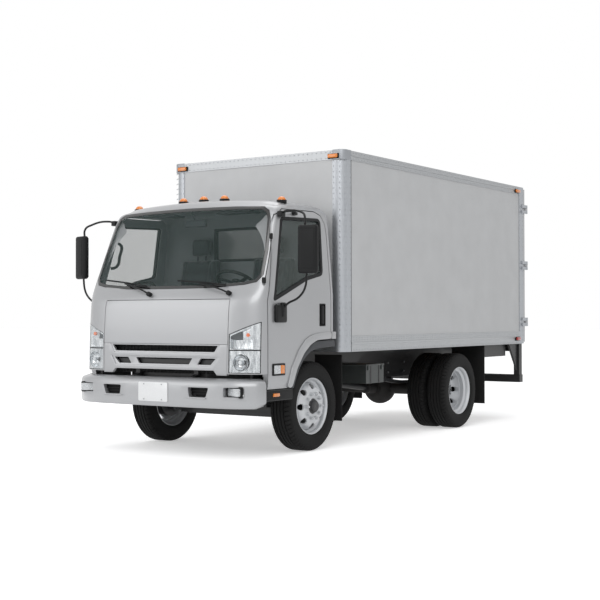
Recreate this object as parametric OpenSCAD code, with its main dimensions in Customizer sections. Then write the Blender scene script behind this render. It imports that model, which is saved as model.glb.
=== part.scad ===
// Box truck: tilt cab, ladder frame, twin rear wheels and a dry-freight load body.
// Millimetres. +X is forward, +Y is the truck's left, +Z is up. The origin is on the
// ground, under the middle of the whole truck. Pieces are drawn from the front axle.

/* [Overall] */
// Distance from the front axle to the rear axle
wheelbase = 2765; // [2500:5:3300]
// Width of the cab over its doors
cab_w = 2024; // [1900:2:2440]
// Height of the cab's roof over the ground
cab_top = 2262; // [2200:2:2500]
// Front of the cab, ahead of the front axle
cab_front = 1010; // [980:2:1060]
// Back of the cab, behind the front axle
cab_back = 220; // [200:2:300]
// Gap between the cab and the load body
cab_gap = 151; // [100:1:300]

/* [Load body] */
// Length of the load body without its rear doors
box_l = 4094; // [3400:2:5000]
// Width of the load body over its rails
box_w = 2024; // [1900:2:2440]
// Height of the load body
box_h = 1876; // [1500:2:2400]
// Height of the load body's underside over the ground
box_z = 880; // [860:2:1000]
// Thickness of the load body's walls
box_wall = 34; // [20:1:60]
// Height of the riveted bottom rails
low_rail_h = 148; // [100:1:200]
// Height of the top rails
top_rail_h = 88; // [60:1:120]
// Thickness of a rear door
rear_door_t = 40; // [25:1:50]

/* [Cab] */
// Thickness of the cab's walls and doors
cab_wall = 45; // [35:1:60]
// Gap around a door
door_gap = 8; // [6:1:12]
// Front shut line of the doors, ahead of the front axle
door_front = 830; // [800:2:840]
// Rear shut line of the doors, behind the front axle
door_back = 140; // [100:2:145]
// Height of the doors' lower edge
door_sill = 596; // [580:2:620]
// Height of the windscreen's foot
cowl_z = 1430; // [1400:2:1460]
// Tilt hinge of the cab, ahead of the front axle
pivot_x = 995; // [985:1:1000]
// Height of the tilt hinge
pivot_z = 655; // [640:1:665]
// Diameter of the steering wheel
steer_d = 410; // [360:5:440]

/* [Running gear] */
// Diameter of the tyres
tyre_d = 806; // [700:2:860]
// Width of a tyre
tyre_w = 212; // [180:2:225]
// Diameter of the rims over their flanges
rim_d = 508; // [470:2:520]
// Distance between the centres of the front tyres
front_track = 1620; // [1600:2:1700]
// Distance between the centres of the outer rear tyres
rear_track = 1810; // [1780:2:1900]
// Distance between the two tyres of a twin
twin_pitch = 245; // [240:1:280]
// Width over the frame rails
frame_w = 850; // [700:2:860]
// Height of the frame rails
rail_h = 200; // [150:2:220]
// Height of the rails' top face over the ground
rail_top = 760; // [740:2:780]
// Distance between the two king pins
king_w = 1400; // [1360:2:1440]
// Thickness of the bumper's front wall
bumper_t = 45; // [30:1:60]

/* [Hidden] */
$fn = 64;
FIT = 0.05;                          // radial clearance of a pin in its bore
SEAT = 0.2;                          // clearance between pieces that only rest together
CW = cab_w / 2;
BW = box_w / 2;
tyre_r = tyre_d / 2;
back_x = -cab_back;
box_front = back_x - cab_gap;
box_rear = box_front - box_l;
box_top = box_z + box_h;
bumper_front = 1130;
bumper_z = [436, 665, 690];          // lower edge, front top edge, back of the top shelf
door_out = box_rear - 6 - rear_door_t;
hinge_back = 30;                     // rear door hinge axis behind the door's outer face
hinge_side = 10;                     // and outboard of the rails
hinge_r = 12;
rear_end = door_out - hinge_back - hinge_r;
axle_x = (-rear_end - bumper_front) / 2;
rail_t = 6;
flange = 65;
rail_z = rail_top - rail_h;
frame_front = 930;
frame_rear = box_rear + 45;
skin = 6;                            // rails and posts stand proud of the panels
panel_y = BW - skin;
inner_y = panel_y - box_wall;
deck = [box_z, box_z + 70, box_z + 105];
post = 126;                          // side of a front corner post
floor_z = 800;                       // underside of the cab's foot well
seat_z = 1100;                       // top of the seat platform
lamp_y = [712, 978];                 // inner and outer edge of a headlamp
grille_z = [725, 975];
screen = [[925, cowl_z], [635, cab_top - 72]];      // windscreen's foot and head, [x, z]
lean = atan((screen[0].x - screen[1].x) / (screen[1].y - screen[0].y));
roof_z = cab_top - 112 + door_gap;   // the roof's lower edge, over the doors
steer_c = [500, 440, 1500];
steer_lean = 35;

// Outlines: [x, z] of the cab from the side, [y, z] from the front, [x, y] from above
CAB_SIDE = [
    [cab_front, 590], [cab_front - 25, 1330], screen[0], screen[1], [540, cab_top - 22],
    [440, cab_top], [back_x + 110, cab_top], [back_x + 30, cab_top - 37],
    [back_x, cab_top - 112], [back_x, 590]
];
CAB_HALF = [
    [CW, 590], [CW, 1400], [CW - 62, cab_top - 182], [CW - 77, cab_top - 132],
    [CW - 122, cab_top - 77], [CW - 192, cab_top - 40], [0, cab_top]
];
CAB_PLAN = [
    [cab_front + 1, 0], [cab_front - 2, 700], [cab_front - 38, CW - 152],
    [cab_front - 95, CW - 52], [cab_front - 150, CW - 7], [cab_front - 200, CW],
    [back_x + 30, CW], [back_x, CW - 30]
];
DOOR = [
    [door_front, door_sill], [door_front - 4, 1340], [door_front - 185, cab_top - 262],
    [door_front - 230, cab_top - 177], [door_front - 325, cab_top - 122], [0, cab_top - 112],
    [55 - door_back, cab_top - 142], [10 - door_back, cab_top - 222], [-door_back, cab_top - 312],
    [-door_back, 1008], [93, 1000], [200, 962], [307, 887], [411, 762], [493, door_sill]
];
WINDOW = [
    [door_front - 84, 1352], [door_front - 274, cab_top - 222], [door_front - 300, cab_top - 200],
    [110 - door_back, cab_top - 182], [90 - door_back, cab_top - 200], [118 - door_back, 1590], [235, 1540]
];
LIP_IN = [[493, 560], [411, 680], [286, 839], [179, 907], [27, 928], [back_x, 936]];
SCREEN_HALF = [[0, cowl_z + 12], [800, cowl_z + 18], [CW - 92, cowl_z + 60], [CW - 68, cowl_z + 130],
    [CW - 72, cowl_z + 330], [CW - 140, cab_top - 132], [CW - 190, cab_top - 92], [0, cab_top - 80]];
// Corners of a bumper half, [x, y], at a depth t inside its outer face
function bumper_half(t) = [
    [bumper_front - t, 0], [bumper_front - 14 - t, 600], [bumper_front - 45 - t, CW - 212 - t / 4],
    [bumper_front - 110 - t * 0.7, CW - 82 - t * 0.7], [bumper_front - 190 - t * 0.2, CW - 2 - t],
    [bumper_front - 230, CW + 23 - t]
];

// ---- helpers -------------------------------------------------------------------------

// Moves every edge of an anticlockwise outline inwards by t, or outwards if t is negative
function unit(v) = v / norm(v);
function shrink(p, t) = let (n = len(p)) [
    for (i = [0 : n - 1])
        let (u = unit(p[i] - p[(i + n - 1) % n]), v = unit(p[(i + 1) % n] - p[i]),
             a = [-u.y, u.x], b = [-v.y, v.x])
        p[i] + (a + b) * t / (1 + a * b)
];
function reversed(p) = [for (i = [len(p) - 1 : -1 : 0]) p[i]];
function right_side(p) = [for (q = p) [q.x, -q.y]];
// Both halves of an outline whose half lies at positive x, or at positive y
function mirrored(half) =
    concat(half, [for (i = [len(half) - 1 : -1 : 0]) if (half[i].x > 0) [-half[i].x, half[i].y]]);
function mirrored_y(half) =
    concat(half, [for (i = [len(half) - 1 : -1 : 0]) if (half[i].y > 0) [half[i].x, -half[i].y]]);

module from_axle() { translate([axle_x, 0, 0]) children(); }
module both_sides() { children(); mirror([0, 1, 0]) children(); }
// Box from its lowest to its highest corner
module slab(a, b) { translate(a) cube(b - a); }
// An [x, z] outline, extruded from y0 to y1
module side_prism(p, y0, y1) { translate([0, y1, 0]) rotate([90, 0, 0]) linear_extrude(y1 - y0) polygon(p); }
// A [y, z] outline, extruded from x0 to x1
module front_prism(p, x0, x1) {
    translate([x0, 0, 0]) rotate([90, 0, 90]) linear_extrude(x1 - x0) polygon(p);
}
module bar(a, b, r) {
    d = b - a;
    translate(a) rotate([0, acos(d.z / norm(d)), atan2(d.y, d.x)]) cylinder(h = norm(d), r = r);
}
module along_y(x, z, y0, y1, r) { translate([x, y1, z]) rotate([90, 0, 0]) cylinder(h = y1 - y0, r = r); }

// ---- frame, axles and what hangs on them ----------------------------------------------

hitch = [86, 44];                    // bolt spacings of a pintle hook, across and up
hitch_r = 6.75;
CROSS_X = [880, -1080, -1900, -3050, frame_rear + 40];
CROSS_Z = [rail_z + 80, rail_z + 170];

module frame() color([0.07, 0.07, 0.075]) {
    w = frame_w / 2;
    section = [[w, rail_z], [w, rail_top], [w - flange, rail_top], [w - flange, rail_top - rail_t],
        [w - rail_t, rail_top - rail_t], [w - rail_t, rail_z + rail_t], [w - flange, rail_z + rail_t],
        [w - flange, rail_z]];
    union() {
        both_sides() front_prism(section, frame_rear, frame_front);
        difference() {
            for (x = CROSS_X) slab([x - 30, -w + rail_t, CROSS_Z[0]], [x + 30, w - rail_t, CROSS_Z[1]]);
            for (y = [-1, 1]) for (z = [-1, 1])
                translate([frame_rear, y * hitch.x / 2, (CROSS_Z[0] + CROSS_Z[1] + z * hitch.y) / 2])
                    rotate([0, 90, 0]) cylinder(h = 80, r = hitch_r);
        }
        both_sides() {
            difference() {
                slab([frame_front, w - 30, pivot_z - 25], [pivot_x + 25, w, pivot_z + 35]);
                along_y(pivot_x, pivot_z, w - 40, w + 10, 12 + FIT);
            }
            slab([frame_front - 60, w - 30, 470], [bumper_front - bumper_t - 14 * w / 600 - SEAT, w, rail_z]);
            slab([frame_front - 60, w - 30, rail_z], [frame_front, w - rail_t, pivot_z + 35]);
        }
    }
}

module front_bumper() color([0.68, 0.69, 0.7]) union() {
    translate([0, 0, bumper_z[0]]) linear_extrude(bumper_z[1] - bumper_z[0])
        polygon(bumper_band(0, bumper_t));
    translate([0, 0, bumper_z[1]]) linear_extrude(bumper_z[2] - bumper_z[1])
        polygon(bumper_band(14, bumper_t + 20));
}
// Closed band between two depths of the bumper, over its whole width
function bumper_band(t0, t1) = let (outer = bumper_half(t0), inner = bumper_half(t1))
    concat(right_side(outer), reversed(right_side(inner)), inner, reversed(outer));

module front_axle() color([0.09, 0.09, 0.1]) {
    k = king_w / 2;
    z = tyre_r;
    union() {
        slab([-35, -k + 110, z - 110], [35, k - 110, z - 30]);
        both_sides() {
            side_rise = [[k - 180, z - 110], [k - 20, z - 45], [k - 20, z + 40], [k - 180, z - 30]];
            front_prism(side_rise, -35, 35);
            translate([0, k, z - 55]) cylinder(h = 110, r = 34);
            translate([0, k, z - 100]) cylinder(h = 200, r = 15);
        }
        both_sides() slab([-50, frame_w / 2 - flange - 5, z - 30], [50, frame_w / 2 + 5, z - 2]);
    }
}

module rear_axle() color([0.08, 0.08, 0.085]) translate([-wheelbase, 0, tyre_r]) {
    inner = rear_track / 2 - twin_pitch;
    union() {
        along_y(0, 0, -inner + 80, inner - 80, 62);
        both_sides() along_y(0, 0, inner - 80, rear_track / 2 - 105, 40);
        intersection() {
            sphere(r = 178);
            slab([-150, -178, -178], [150, 178, 178]);
        }
        bar([0, 0, 10], [330, 0, 22], 70);
    }
}

// One leaf pack with its two eyes and hangers: half span, height at the middle, rise at the ends
module leaf_pack(half, z_mid, rise) {
    r = (half * half + rise * rise) / (2 * rise);
    y0 = frame_w / 2 - flange;
    translate([0, frame_w / 2, z_mid + r]) rotate([90, 0, 0]) intersection() {
        difference() {
            cylinder(h = flange, r = r, $fn = 360);
            translate([0, 0, -1]) cylinder(h = flange + 2, r = r - 36, $fn = 360);
        }
        translate([-half, -r, 0]) cube([2 * half, rise + 60, flange]);
    }
    for (s = [-1, 1]) slab([s * half - 25, y0, z_mid + rise - 6], [s * half + 25, frame_w / 2, rail_z]);
}
module leaf_springs() color([0.1, 0.1, 0.1]) both_sides() {
    leaf_pack(600, tyre_r - 2, 95);
    translate([-wheelbase, 0, 0]) leaf_pack(620, tyre_r + 62, 55);
}

module engine() color([0.3, 0.31, 0.32]) union() {
    slab([-160, -270, rail_z - 60], [320, 270, 1000]);
    slab([-1000, -170, rail_z - 70], [-160, 170, rail_top + 20]);
    both_sides() slab([120, 270, rail_z + 50], [220, frame_w / 2 - rail_t, rail_z + 110]);
}

module drive_shaft() color([0.12, 0.12, 0.12])
    bar([-1004.7, 0, 590], [-wheelbase + 333.4, 0, tyre_r + 24], 40);

module exhaust() color([0.42, 0.41, 0.4]) {
    y = -frame_w / 2 - 235;
    z = rail_z - 62;
    union() {
        inlet = [-660, y + 60, z];
        tail = [-1440, y, z];
        bar([-1380, y, z], [-730, y, z], 108);
        bar([-731, y, z], inlet, 28);
        bar(inlet, [inlet.x, -170, z], 28);
        translate(inlet) sphere(r = 28);
        bar(tail, [-1379, y, z], 28);
        translate(tail) sphere(r = 28);
        bar(tail, [tail.x - 20, -BW + 30, z - 40], 28);
        for (x = [-830, -1300]) slab([x - 15, y - 20, z], [x + 15, -frame_w / 2, z + 130]);
    }
}

module fuel_tank() color([0.16, 0.16, 0.165]) {
    x1 = -1560;
    slab([x1 - 640, -CW + 110, rail_z - 90], [x1, -frame_w / 2, rail_top + 10]);
}

module battery_box() color([0.2, 0.21, 0.19])
    slab([-1340, frame_w / 2, rail_top - 205], [-1000, CW - 142, rail_top - 22]);

module mudflaps() color([0.05, 0.05, 0.055]) both_sides() {
    union() {
        slab([-512, front_track / 2 - 210, 232], [-504, front_track / 2 + 90, 850]);
        slab([-536, frame_w / 2, rail_top - 70], [-512, front_track / 2 + 60, rail_top - 30]);
    }
    x = -wheelbase - tyre_r - 200;
    slab([x - 8, rear_track / 2 - twin_pitch - 60, 225], [x, BW - 2, box_z]);
}

module underride_guard() color([0.05, 0.05, 0.055]) union() {
    x = box_rear + 30;
    both_sides() {
        slab([x, BW - 82, 505], [x + 80, BW - 12, box_z]);
        side_prism([[x + 80, 560], [x + 320, box_z], [x + 80, box_z]], BW - 60, BW - 35);
        side_prism([[x + 320, 740], [x + 880, 740], [x + 1030, box_z], [x + 320, box_z]], BW - 120, BW - 82);
    }
    slab([x - 5, -BW + 4, 419], [x + 85, BW - 4, 510]);
}

module tail_lamps() color([0.6, 0.05, 0.04])
    both_sides() slab([box_rear + 2, BW - 330, box_z - 95], [box_rear + 28, BW - 110, box_z]);

// ---- load body --------------------------------------------------------------------------

module subframe() color([0.1, 0.1, 0.1])
    both_sides() slab([frame_rear, frame_w / 2 - flange, rail_top], [box_front - 40, frame_w / 2, box_z]);

module load_floor() color([0.35, 0.3, 0.24]) {
    n = 10;
    x0 = box_rear + 120;
    x1 = box_front - box_wall - skin;
    union() {
        slab([x0, -inner_y, deck[1]], [x1, inner_y, deck[2]]);
        for (i = [0 : n]) let (x = x0 + 40 + i * (x1 - x0 - 80) / n)
            slab([x - 22, -inner_y, deck[0]], [x + 22, inner_y, deck[1]]);
    }
}

module front_wall() color([0.86, 0.87, 0.88])
    slab([box_front - box_wall - skin, -BW + post, box_z], [box_front - skin, BW - post, box_top - 36]);

module side_walls() color([0.84, 0.85, 0.86])
    both_sides() slab([box_rear + 120, inner_y, deck[1]], [box_front - post, panel_y, box_top - 36]);

module load_roof() color([0.9, 0.9, 0.9])
    slab([box_rear + 120, -panel_y, box_top - 36], [box_front - post, panel_y, box_top - 4]);

module corner_posts() color([0.72, 0.73, 0.74]) both_sides() {
    r = 95;
    difference() {
        union() {
            intersection() {
                translate([box_front - r, BW - r, box_z]) cylinder(h = box_h - 2, r = r);
                slab([box_front - r, BW - r, box_z], [box_front, BW, box_top]);
            }
            slab([box_front - post, BW - post, box_z], [box_front - r, BW, box_top - 2]);
            slab([box_front - r, BW - post, box_z], [box_front, BW - r, box_top - 2]);
        }
        slab([box_front - post - 1, BW - post - 1, box_z - 1],
             [box_front - skin - box_wall, inner_y, box_top - 36]);
    }
}

module body_rails() color([0.74, 0.75, 0.76]) {
    both_sides() {
        slab([box_rear + 120, panel_y, box_z], [box_front - post, BW, box_z + low_rail_h]);
        union() {
            slab([box_rear + 120, panel_y, box_top - top_rail_h], [box_front - post, BW, box_top - 4]);
            slab([box_rear + 120, BW - 60, box_top - 4], [box_front - post, BW, box_top]);
        }
    }
    union() {
        slab([box_front - skin, -BW + post, box_top - top_rail_h], [box_front, BW - post, box_top - 4]);
        slab([box_front - post, -BW + post, box_top - 36], [box_front - skin, BW - post, box_top - 4]);
        slab([box_front - post, -BW + post, box_top - 4], [box_front, BW - post, box_top]);
    }
    slab([box_front - skin, -BW + post, box_z], [box_front, BW - post, box_z + low_rail_h]);
}

HINGES = [box_z + 260, box_z + box_h / 2, box_top - 260];   // heights of the rear door hinges
rear_hinge = [door_out - hinge_back, BW + hinge_side];

module rear_frame() color([0.7, 0.71, 0.72]) {
    w = 60;
    union() {
        difference() {
            slab([box_rear, -BW, box_z], [box_rear + 120, BW, box_top]);
            slab([box_rear - 1, -BW + w, deck[2]], [box_rear + 121, BW - w, box_top - 120]);
        }
        both_sides() for (z = HINGES) for (s = [-1, 1]) difference() {
            union() {
                slab([rear_hinge.x, BW, z + s * 33 - 18], [box_rear + 60, BW + 16, z + s * 33 + 18]);
                translate([rear_hinge.x, rear_hinge.y, z + s * 33 - 18]) cylinder(h = 36, r = hinge_r);
            }
            translate([rear_hinge.x, rear_hinge.y, z + s * 33 - 19]) cylinder(h = 38, r = 6 + FIT);
        }
    }
}

// Swing door on the left side: panel, hinge straps with their pins and two locking bars
module rear_door() {
    bottom = box_z + 20;
    top = box_top - 20;
    union() {
        slab([door_out, 4, bottom], [door_out + rear_door_t, BW - 4, top]);
        for (z = HINGES) {
            slab([rear_hinge.x, BW - 130, z - 14.6], [door_out, rear_hinge.y, z + 14.6]);
            translate([rear_hinge.x, rear_hinge.y, z - 14.6]) cylinder(h = 29.2, r = hinge_r);
            translate([rear_hinge.x, rear_hinge.y, z - 50]) cylinder(h = 100, r = 6);
        }
        for (y = [BW - 390, BW - 840]) {
            translate([door_out - 13, y, bottom + 10]) cylinder(h = top - bottom - 20, r = 14);
            for (z = [bottom + 20, box_z + 620, box_z + 1000, top - 50])
                slab([door_out - 28, y - 30, z], [door_out, y + 30, z + 30]);
        }
    }
}
module rear_door_left() color([0.85, 0.86, 0.87]) rear_door();
module rear_door_right() color([0.85, 0.86, 0.87]) mirror([0, 1, 0]) rear_door();

module marker_lamps() color([0.95, 0.5, 0.1]) both_sides() {
    slab([box_front, BW - 165, box_top - 68], [box_front + 14, BW - 95, box_top - 32]);
    slab([box_rear + 145, BW, box_top - 78], [box_rear + 225, BW + 12, box_top - 38]);
    slab([box_rear + 155, BW, box_z + 40], [box_rear + 215, BW + 10, box_z + 82]);
}

// ---- cab ----------------------------------------------------------------------------------

// The bowed front over the cowl, [x, y] square to the leaning screen
BOW = mirrored_y([[-4, 260], [-17, 570], [-37, 850], [-54, 1030], [-54, 1400], [-3000, 1400]]);
// The cab's whole form, t inside its outer face
module cab_form(t) {
    intersection() {
        side_prism(shrink(CAB_SIDE, t), -CW - 10, CW + 10);
        front_prism(shrink(mirrored(CAB_HALF), t), back_x - 10, cab_front + 10);
        union() {
            translate([0, 0, 500]) linear_extrude(cowl_z - 500) polygon(shrink(mirrored_y(CAB_PLAN), t));
            intersection() {
                slab([back_x + t, -CW, cowl_z], [cab_front, CW, cab_top + 10]);
                translate([screen[0].x - t / cos(lean), 0, cowl_z]) rotate([0, -lean, 0])
                    translate([0, 0, -1500]) linear_extrude(4000) polygon(reversed(BOW));
            }
        }
    }
}

module cab_shell() difference() {
    cab_form(0);
    cab_form(cab_wall);
    slab([back_x + cab_wall, -CW + cab_wall, 500], [cab_front - cab_wall, CW - cab_wall, 700]);
}
module door_holes() side_prism(shrink(DOOR, -door_gap), -CW - 20, CW + 20);
module screen_hole() front_prism(mirrored(SCREEN_HALF), 560, cab_front + 20);
module lamp_hole(t) {
    front_prism([[lamp_y[0] + t, 733 + t], [lamp_y[1] - t, 733 + t], [lamp_y[1] - t, 1167 - t],
        [lamp_y[0] + t, 1061 - t]], door_front + 42, cab_front + 10);
}
module grille_hole(t) slab([900, -700 + t, grille_z[0] - 2 + t], [cab_front + 10, 700 - t, grille_z[1] - t]);

module cab_front() color([0.72, 0.73, 0.75]) union() {
    difference() {
        intersection() {
            cab_shell();
            slab([door_front + door_gap, -CW - 5, grille_z[0]], [cab_front + 5, CW + 5, cowl_z]);
        }
        both_sides() lamp_hole(0);
        grille_hole(0);
        door_holes();
    }
    both_sides() for (z = CAB_HINGES) cab_hinge_lugs(z);
}

CAB_HINGES = [760, 1180];
cab_hinge = [door_front + door_gap / 2, CW];
cab_hinge_r = 5;
// Two lugs with a pin through them, on the cab, and the barrel between them, on the door
module cab_hinge_lugs(z) {
    for (s = [-1, 1]) {
        translate([cab_hinge.x, cab_hinge.y, z + s * 32 - 12]) cylinder(h = 24, r = cab_hinge_r);
        slab([cab_hinge.x, CW - 40, z + s * 32 - 12], [door_front + door_gap + 8, CW, z + s * 32 + 12]);
    }
    translate([cab_hinge.x, cab_hinge.y, z - 40]) cylinder(h = 80, r = 3);
}
module cab_hinge_barrel(z) {
    translate([cab_hinge.x, cab_hinge.y, z - 19.6]) cylinder(h = 39.2, r = cab_hinge_r);
    slab([door_front - 8, CW - 12, z - 19.6], [cab_hinge.x, CW, z + 19.6]);
}

module cab_pillars() color([0.72, 0.73, 0.75]) difference() {
    intersection() {
        cab_shell();
        slab([door_front - 330, -CW - 5, cowl_z], [cab_front, CW + 5, roof_z]);
    }
    door_holes();
    screen_hole();
}

module cab_roof() color([0.74, 0.75, 0.77]) difference() {
    intersection() {
        cab_shell();
        slab([back_x, -CW - 5, roof_z], [cab_front, CW + 5, cab_top + 5]);
    }
    door_holes();
    screen_hole();
}

module rear_window_hole(t) front_prism([[-340 + t, 1750 + t], [340 - t, 1750 + t], [340 - t, 2050 - t],
    [-340 + t, 2050 - t]], back_x - 10, back_x + cab_wall + 10);
module cab_back_wall() color([0.72, 0.73, 0.75]) difference() {
    intersection() {
        cab_shell();
        union() {
            slab([back_x, -CW - 5, 936], [-door_back - door_gap, CW + 5, roof_z]);
            slab([back_x, -CW - 5, roof_z - 220], [0, CW + 5, roof_z]);
        }
    }
    door_holes();
    rear_window_hole(0);
}

module cab_floor() color([0.16, 0.16, 0.17]) {
    w = CW - cab_wall - 12;
    back = back_x + cab_wall + SEAT;
    t = 40;
    lug_y = frame_w / 2 - flange - 52;
    lug = [[pivot_x - 80, floor_z + 1], [pivot_x - 42, floor_z + 1], [pivot_x - 42, grille_z[0] - 13],
        [pivot_x + 20, grille_z[0] - 34], [pivot_x + 20, pivot_z - 18], [pivot_x - 20, pivot_z - 18],
        [pivot_x - 80, pivot_z + 50]];
    union() {
        intersection() {
            side_prism([[back, seat_z - t], [385, seat_z - t], [425, floor_z], [cab_front, floor_z],
                [cab_front, floor_z + t], [458, floor_z + t], [420, seat_z], [back, seat_z]], -w, w);
            cab_form(cab_wall + SEAT);
        }
        both_sides() {
            slab([477, CW - 172, 497], [862, CW - 4, 588]);
            slab([477, CW - 172, 588], [862, CW - 142, floor_z + 1]);
            side_prism(lug, lug_y, lug_y + 46);
            along_y(pivot_x, pivot_z, lug_y, frame_w / 2 - 1, 12);
        }
    }
}

// Dark inner edge of a front wheel arch, from the step to the cab's back
module arch_lips() color([0.2, 0.2, 0.21]) both_sides() difference() {
    side_prism(concat(LIP_IN, [[back_x, 1000], [85, 992], [190, 955], [297, 880], [403, 756], [477, 588]]),
        CW - 105, CW - 8);
    slab([back_x - 1, CW - 200, 935], [SEAT - door_back - door_gap, CW, 1100]);
    slab([477, CW - 172, 497], [862, CW, 588 + SEAT]);
    door_holes();
}

module windscreen() color([0.35, 0.45, 0.45, 0.4]) intersection() {
    difference() { cab_form(2); cab_form(10); }
    front_prism(shrink(mirrored(SCREEN_HALF), SEAT), 590, cab_front);
}
module rear_window() color([0.35, 0.45, 0.45, 0.4]) intersection() {
    slab([back_x + 10, -CW, 1700], [back_x + 16, CW, 2100]);
    rear_window_hole(SEAT);
}

module grille() color([0.7, 0.71, 0.72]) difference() {
    intersection() { cab_shell(); grille_hole(SEAT); slab([900, -705, 725], [cab_front, 705, 1000]); }
    slab([900, -600, 905], [cab_front + 1, 600, 955]);
    for (y = [[-590, -400], [-330, 330], [400, 590]]) slab([900, y[0], 815], [cab_front + 1, y[1], 860]);
    slab([900, -600, 745], [cab_front + 1, 600, 775]);
}
module headlamps() color([0.85, 0.87, 0.88]) both_sides() intersection() {
    cab_shell();
    lamp_hole(SEAT);
}

// Roof lamps: [x, y]
ROOF_LAMPS = [[372, 828], [427, 239], [427, 0], [427, -239], [372, -828]];
module roof_lamps() color([0.95, 0.5, 0.08]) for (p = ROOF_LAMPS) {
    slope = 40 / (CW - 192);
    z = cab_top - slope * max(0, abs(p.y) - 38) + SEAT;
    translate([p.x, p.y, z]) union() {
        cylinder(h = 10, r = 38);
        translate([0, 0, 10]) cylinder(h = 26, r = 32);
    }
}

module dashboard() color([0.13, 0.13, 0.14]) difference() {
    w = CW - cab_wall - 15;
    union() {
        intersection() {
            side_prism([[cab_front, 1000], [cab_front, 1330], [870, 1385], [720, 1400], [640, 1350],
                [660, 1200], [760, 1100], [800, 1000]], -w, w);
            cab_form(cab_wall + SEAT);
        }
        at_column() translate([0, 0, -330]) cylinder(h = 280, r = 36);
    }
    at_column() translate([0, 0, -160]) cylinder(h = 120, r = 14 + FIT);
}

// A seat: cushion, leaning back and headrest over a low base
module seat(y) translate([0, y, 0]) union() {
    slab([0, -200, seat_z + SEAT], [330, 200, seat_z + 80]);
    side_prism([[-30, seat_z + 60], [380, seat_z + 75], [410, seat_z + 150], [380, seat_z + 195],
        [80, seat_z + 170], [60, seat_z + 250], [-35, 1775], [-140, 1770], [-90, seat_z + 120]], -240, 240);
    side_prism([[-125, 1765], [-50, 1765], [-40, 1960], [-120, 1965]], -115, 115);
}
module driver_seat() color([0.14, 0.15, 0.16]) seat(430);
module passenger_seat() color([0.14, 0.15, 0.16]) seat(-430);

// Steering wheel and the stub of its column, about the column's own axis
module at_column() { translate(steer_c) rotate([0, -steer_lean, 0]) children(); }
module steering_wheel() color([0.08, 0.08, 0.085]) at_column() union() {
    rotate_extrude() translate([steer_d / 2 - 15, 0]) circle(r = 15);
    cylinder(h = 30, r = 60, center = true);
    for (a = [90, 210, 330]) rotate([0, 0, a]) slab([-16, 50, -7], [16, steer_d / 2 - 18, 7]);
    translate([0, 0, -150]) cylinder(h = 140, r = 14);
}

// ---- doors ---------------------------------------------------------------------------------

module door_form() difference() {
    intersection() { cab_shell(); side_prism(DOOR, CW - 250, CW + 10); }
    side_prism(WINDOW, CW - 300, CW + 10);
}
module door() difference() {
    union() {
        door_form();
        for (z = CAB_HINGES) cab_hinge_barrel(z);
        slab(mirror_foot[0], mirror_foot[1]);
    }
    for (z = CAB_HINGES) translate([cab_hinge.x, cab_hinge.y, z - 45]) cylinder(h = 90, r = 3 + FIT);
}
module door_glass() intersection() {
    difference() { cab_form(14); cab_form(19); }
    side_prism(shrink(WINDOW, SEAT), CW - 200, CW);
}

// Mirror: tube arms from the door's top corner and lower bracket to a tall narrow head
mirror_c = [665, CW + 288, 1776];
mirror_foot = [[door_front - 240, CW - 1, 1160], [door_front - 82, CW + 30, 1310]];
module door_mirror() {
    head = [70, 180, 410];
    skin_at = shrink(mirrored(CAB_HALF), -SEAT);      // the door frame lies between points 2 and 3
    top_foot = [skin_at[2], skin_at[2] + [30, 0], (skin_at[2] + skin_at[3]) / 2 + [30, 0],
        (skin_at[2] + skin_at[3]) / 2];
    upper = [540, skin_at[2].x + 18, skin_at[2].y + 12];
    knee = [620, CW + 225, cab_top - 180];
    lower = [650, CW + 42, 1250];
    bend = [655, CW + 240, 1420];
    union() {
        translate(mirror_c) rotate([0, 0, 18]) translate(-head / 2) cube(head);
        front_prism(top_foot, upper.x - 20, upper.x + 20);
        bar(upper, knee, 9);
        bar(knee, [660, CW + 250, mirror_c.z + 195], 9);
        slab([lower.x - 13, mirror_foot[1].y + SEAT, lower.z - 16], [lower.x + 13, lower.y + 12, lower.z + 16]);
        bar(lower, bend, 9);
        bar(bend, [bend.x, bend.y, mirror_c.z - 150], 9);
        for (p = [knee, bend]) translate(p) cube(26, center = true);
    }
}
module door_left() color([0.72, 0.73, 0.75]) door();
module door_right() color([0.72, 0.73, 0.75]) mirror([0, 1, 0]) door();
module door_glass_left() color([0.3, 0.35, 0.35, 0.5]) door_glass();
module door_glass_right() color([0.3, 0.35, 0.35, 0.5]) mirror([0, 1, 0]) door_glass();
module mirror_left() color([0.06, 0.06, 0.065]) door_mirror();
module mirror_right() color([0.06, 0.06, 0.065]) mirror([0, 1, 0]) door_mirror();

// ---- wheels and steering --------------------------------------------------------------------

// Barrel of a rim, [radius, across]
rim_r = rim_d / 2;
bead = rim_r - 11;
BARREL = [[rim_r, -92], [rim_r, -84], [bead, -80], [bead, -45], [bead - 21, -30], [bead - 21, 30],
    [bead, 45], [bead, 80], [rim_r, 84], [rim_r, 92], [rim_r - 8, 92], [bead - 8, 78], [bead - 8, 50],
    [bead - 29, 34], [bead - 29, -34], [bead - 8, -50], [bead - 8, -78], [rim_r - 8, -92]];
module turned(p) { rotate([-90, 0, 0]) rotate_extrude($fn = 96) polygon(p); }
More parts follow.
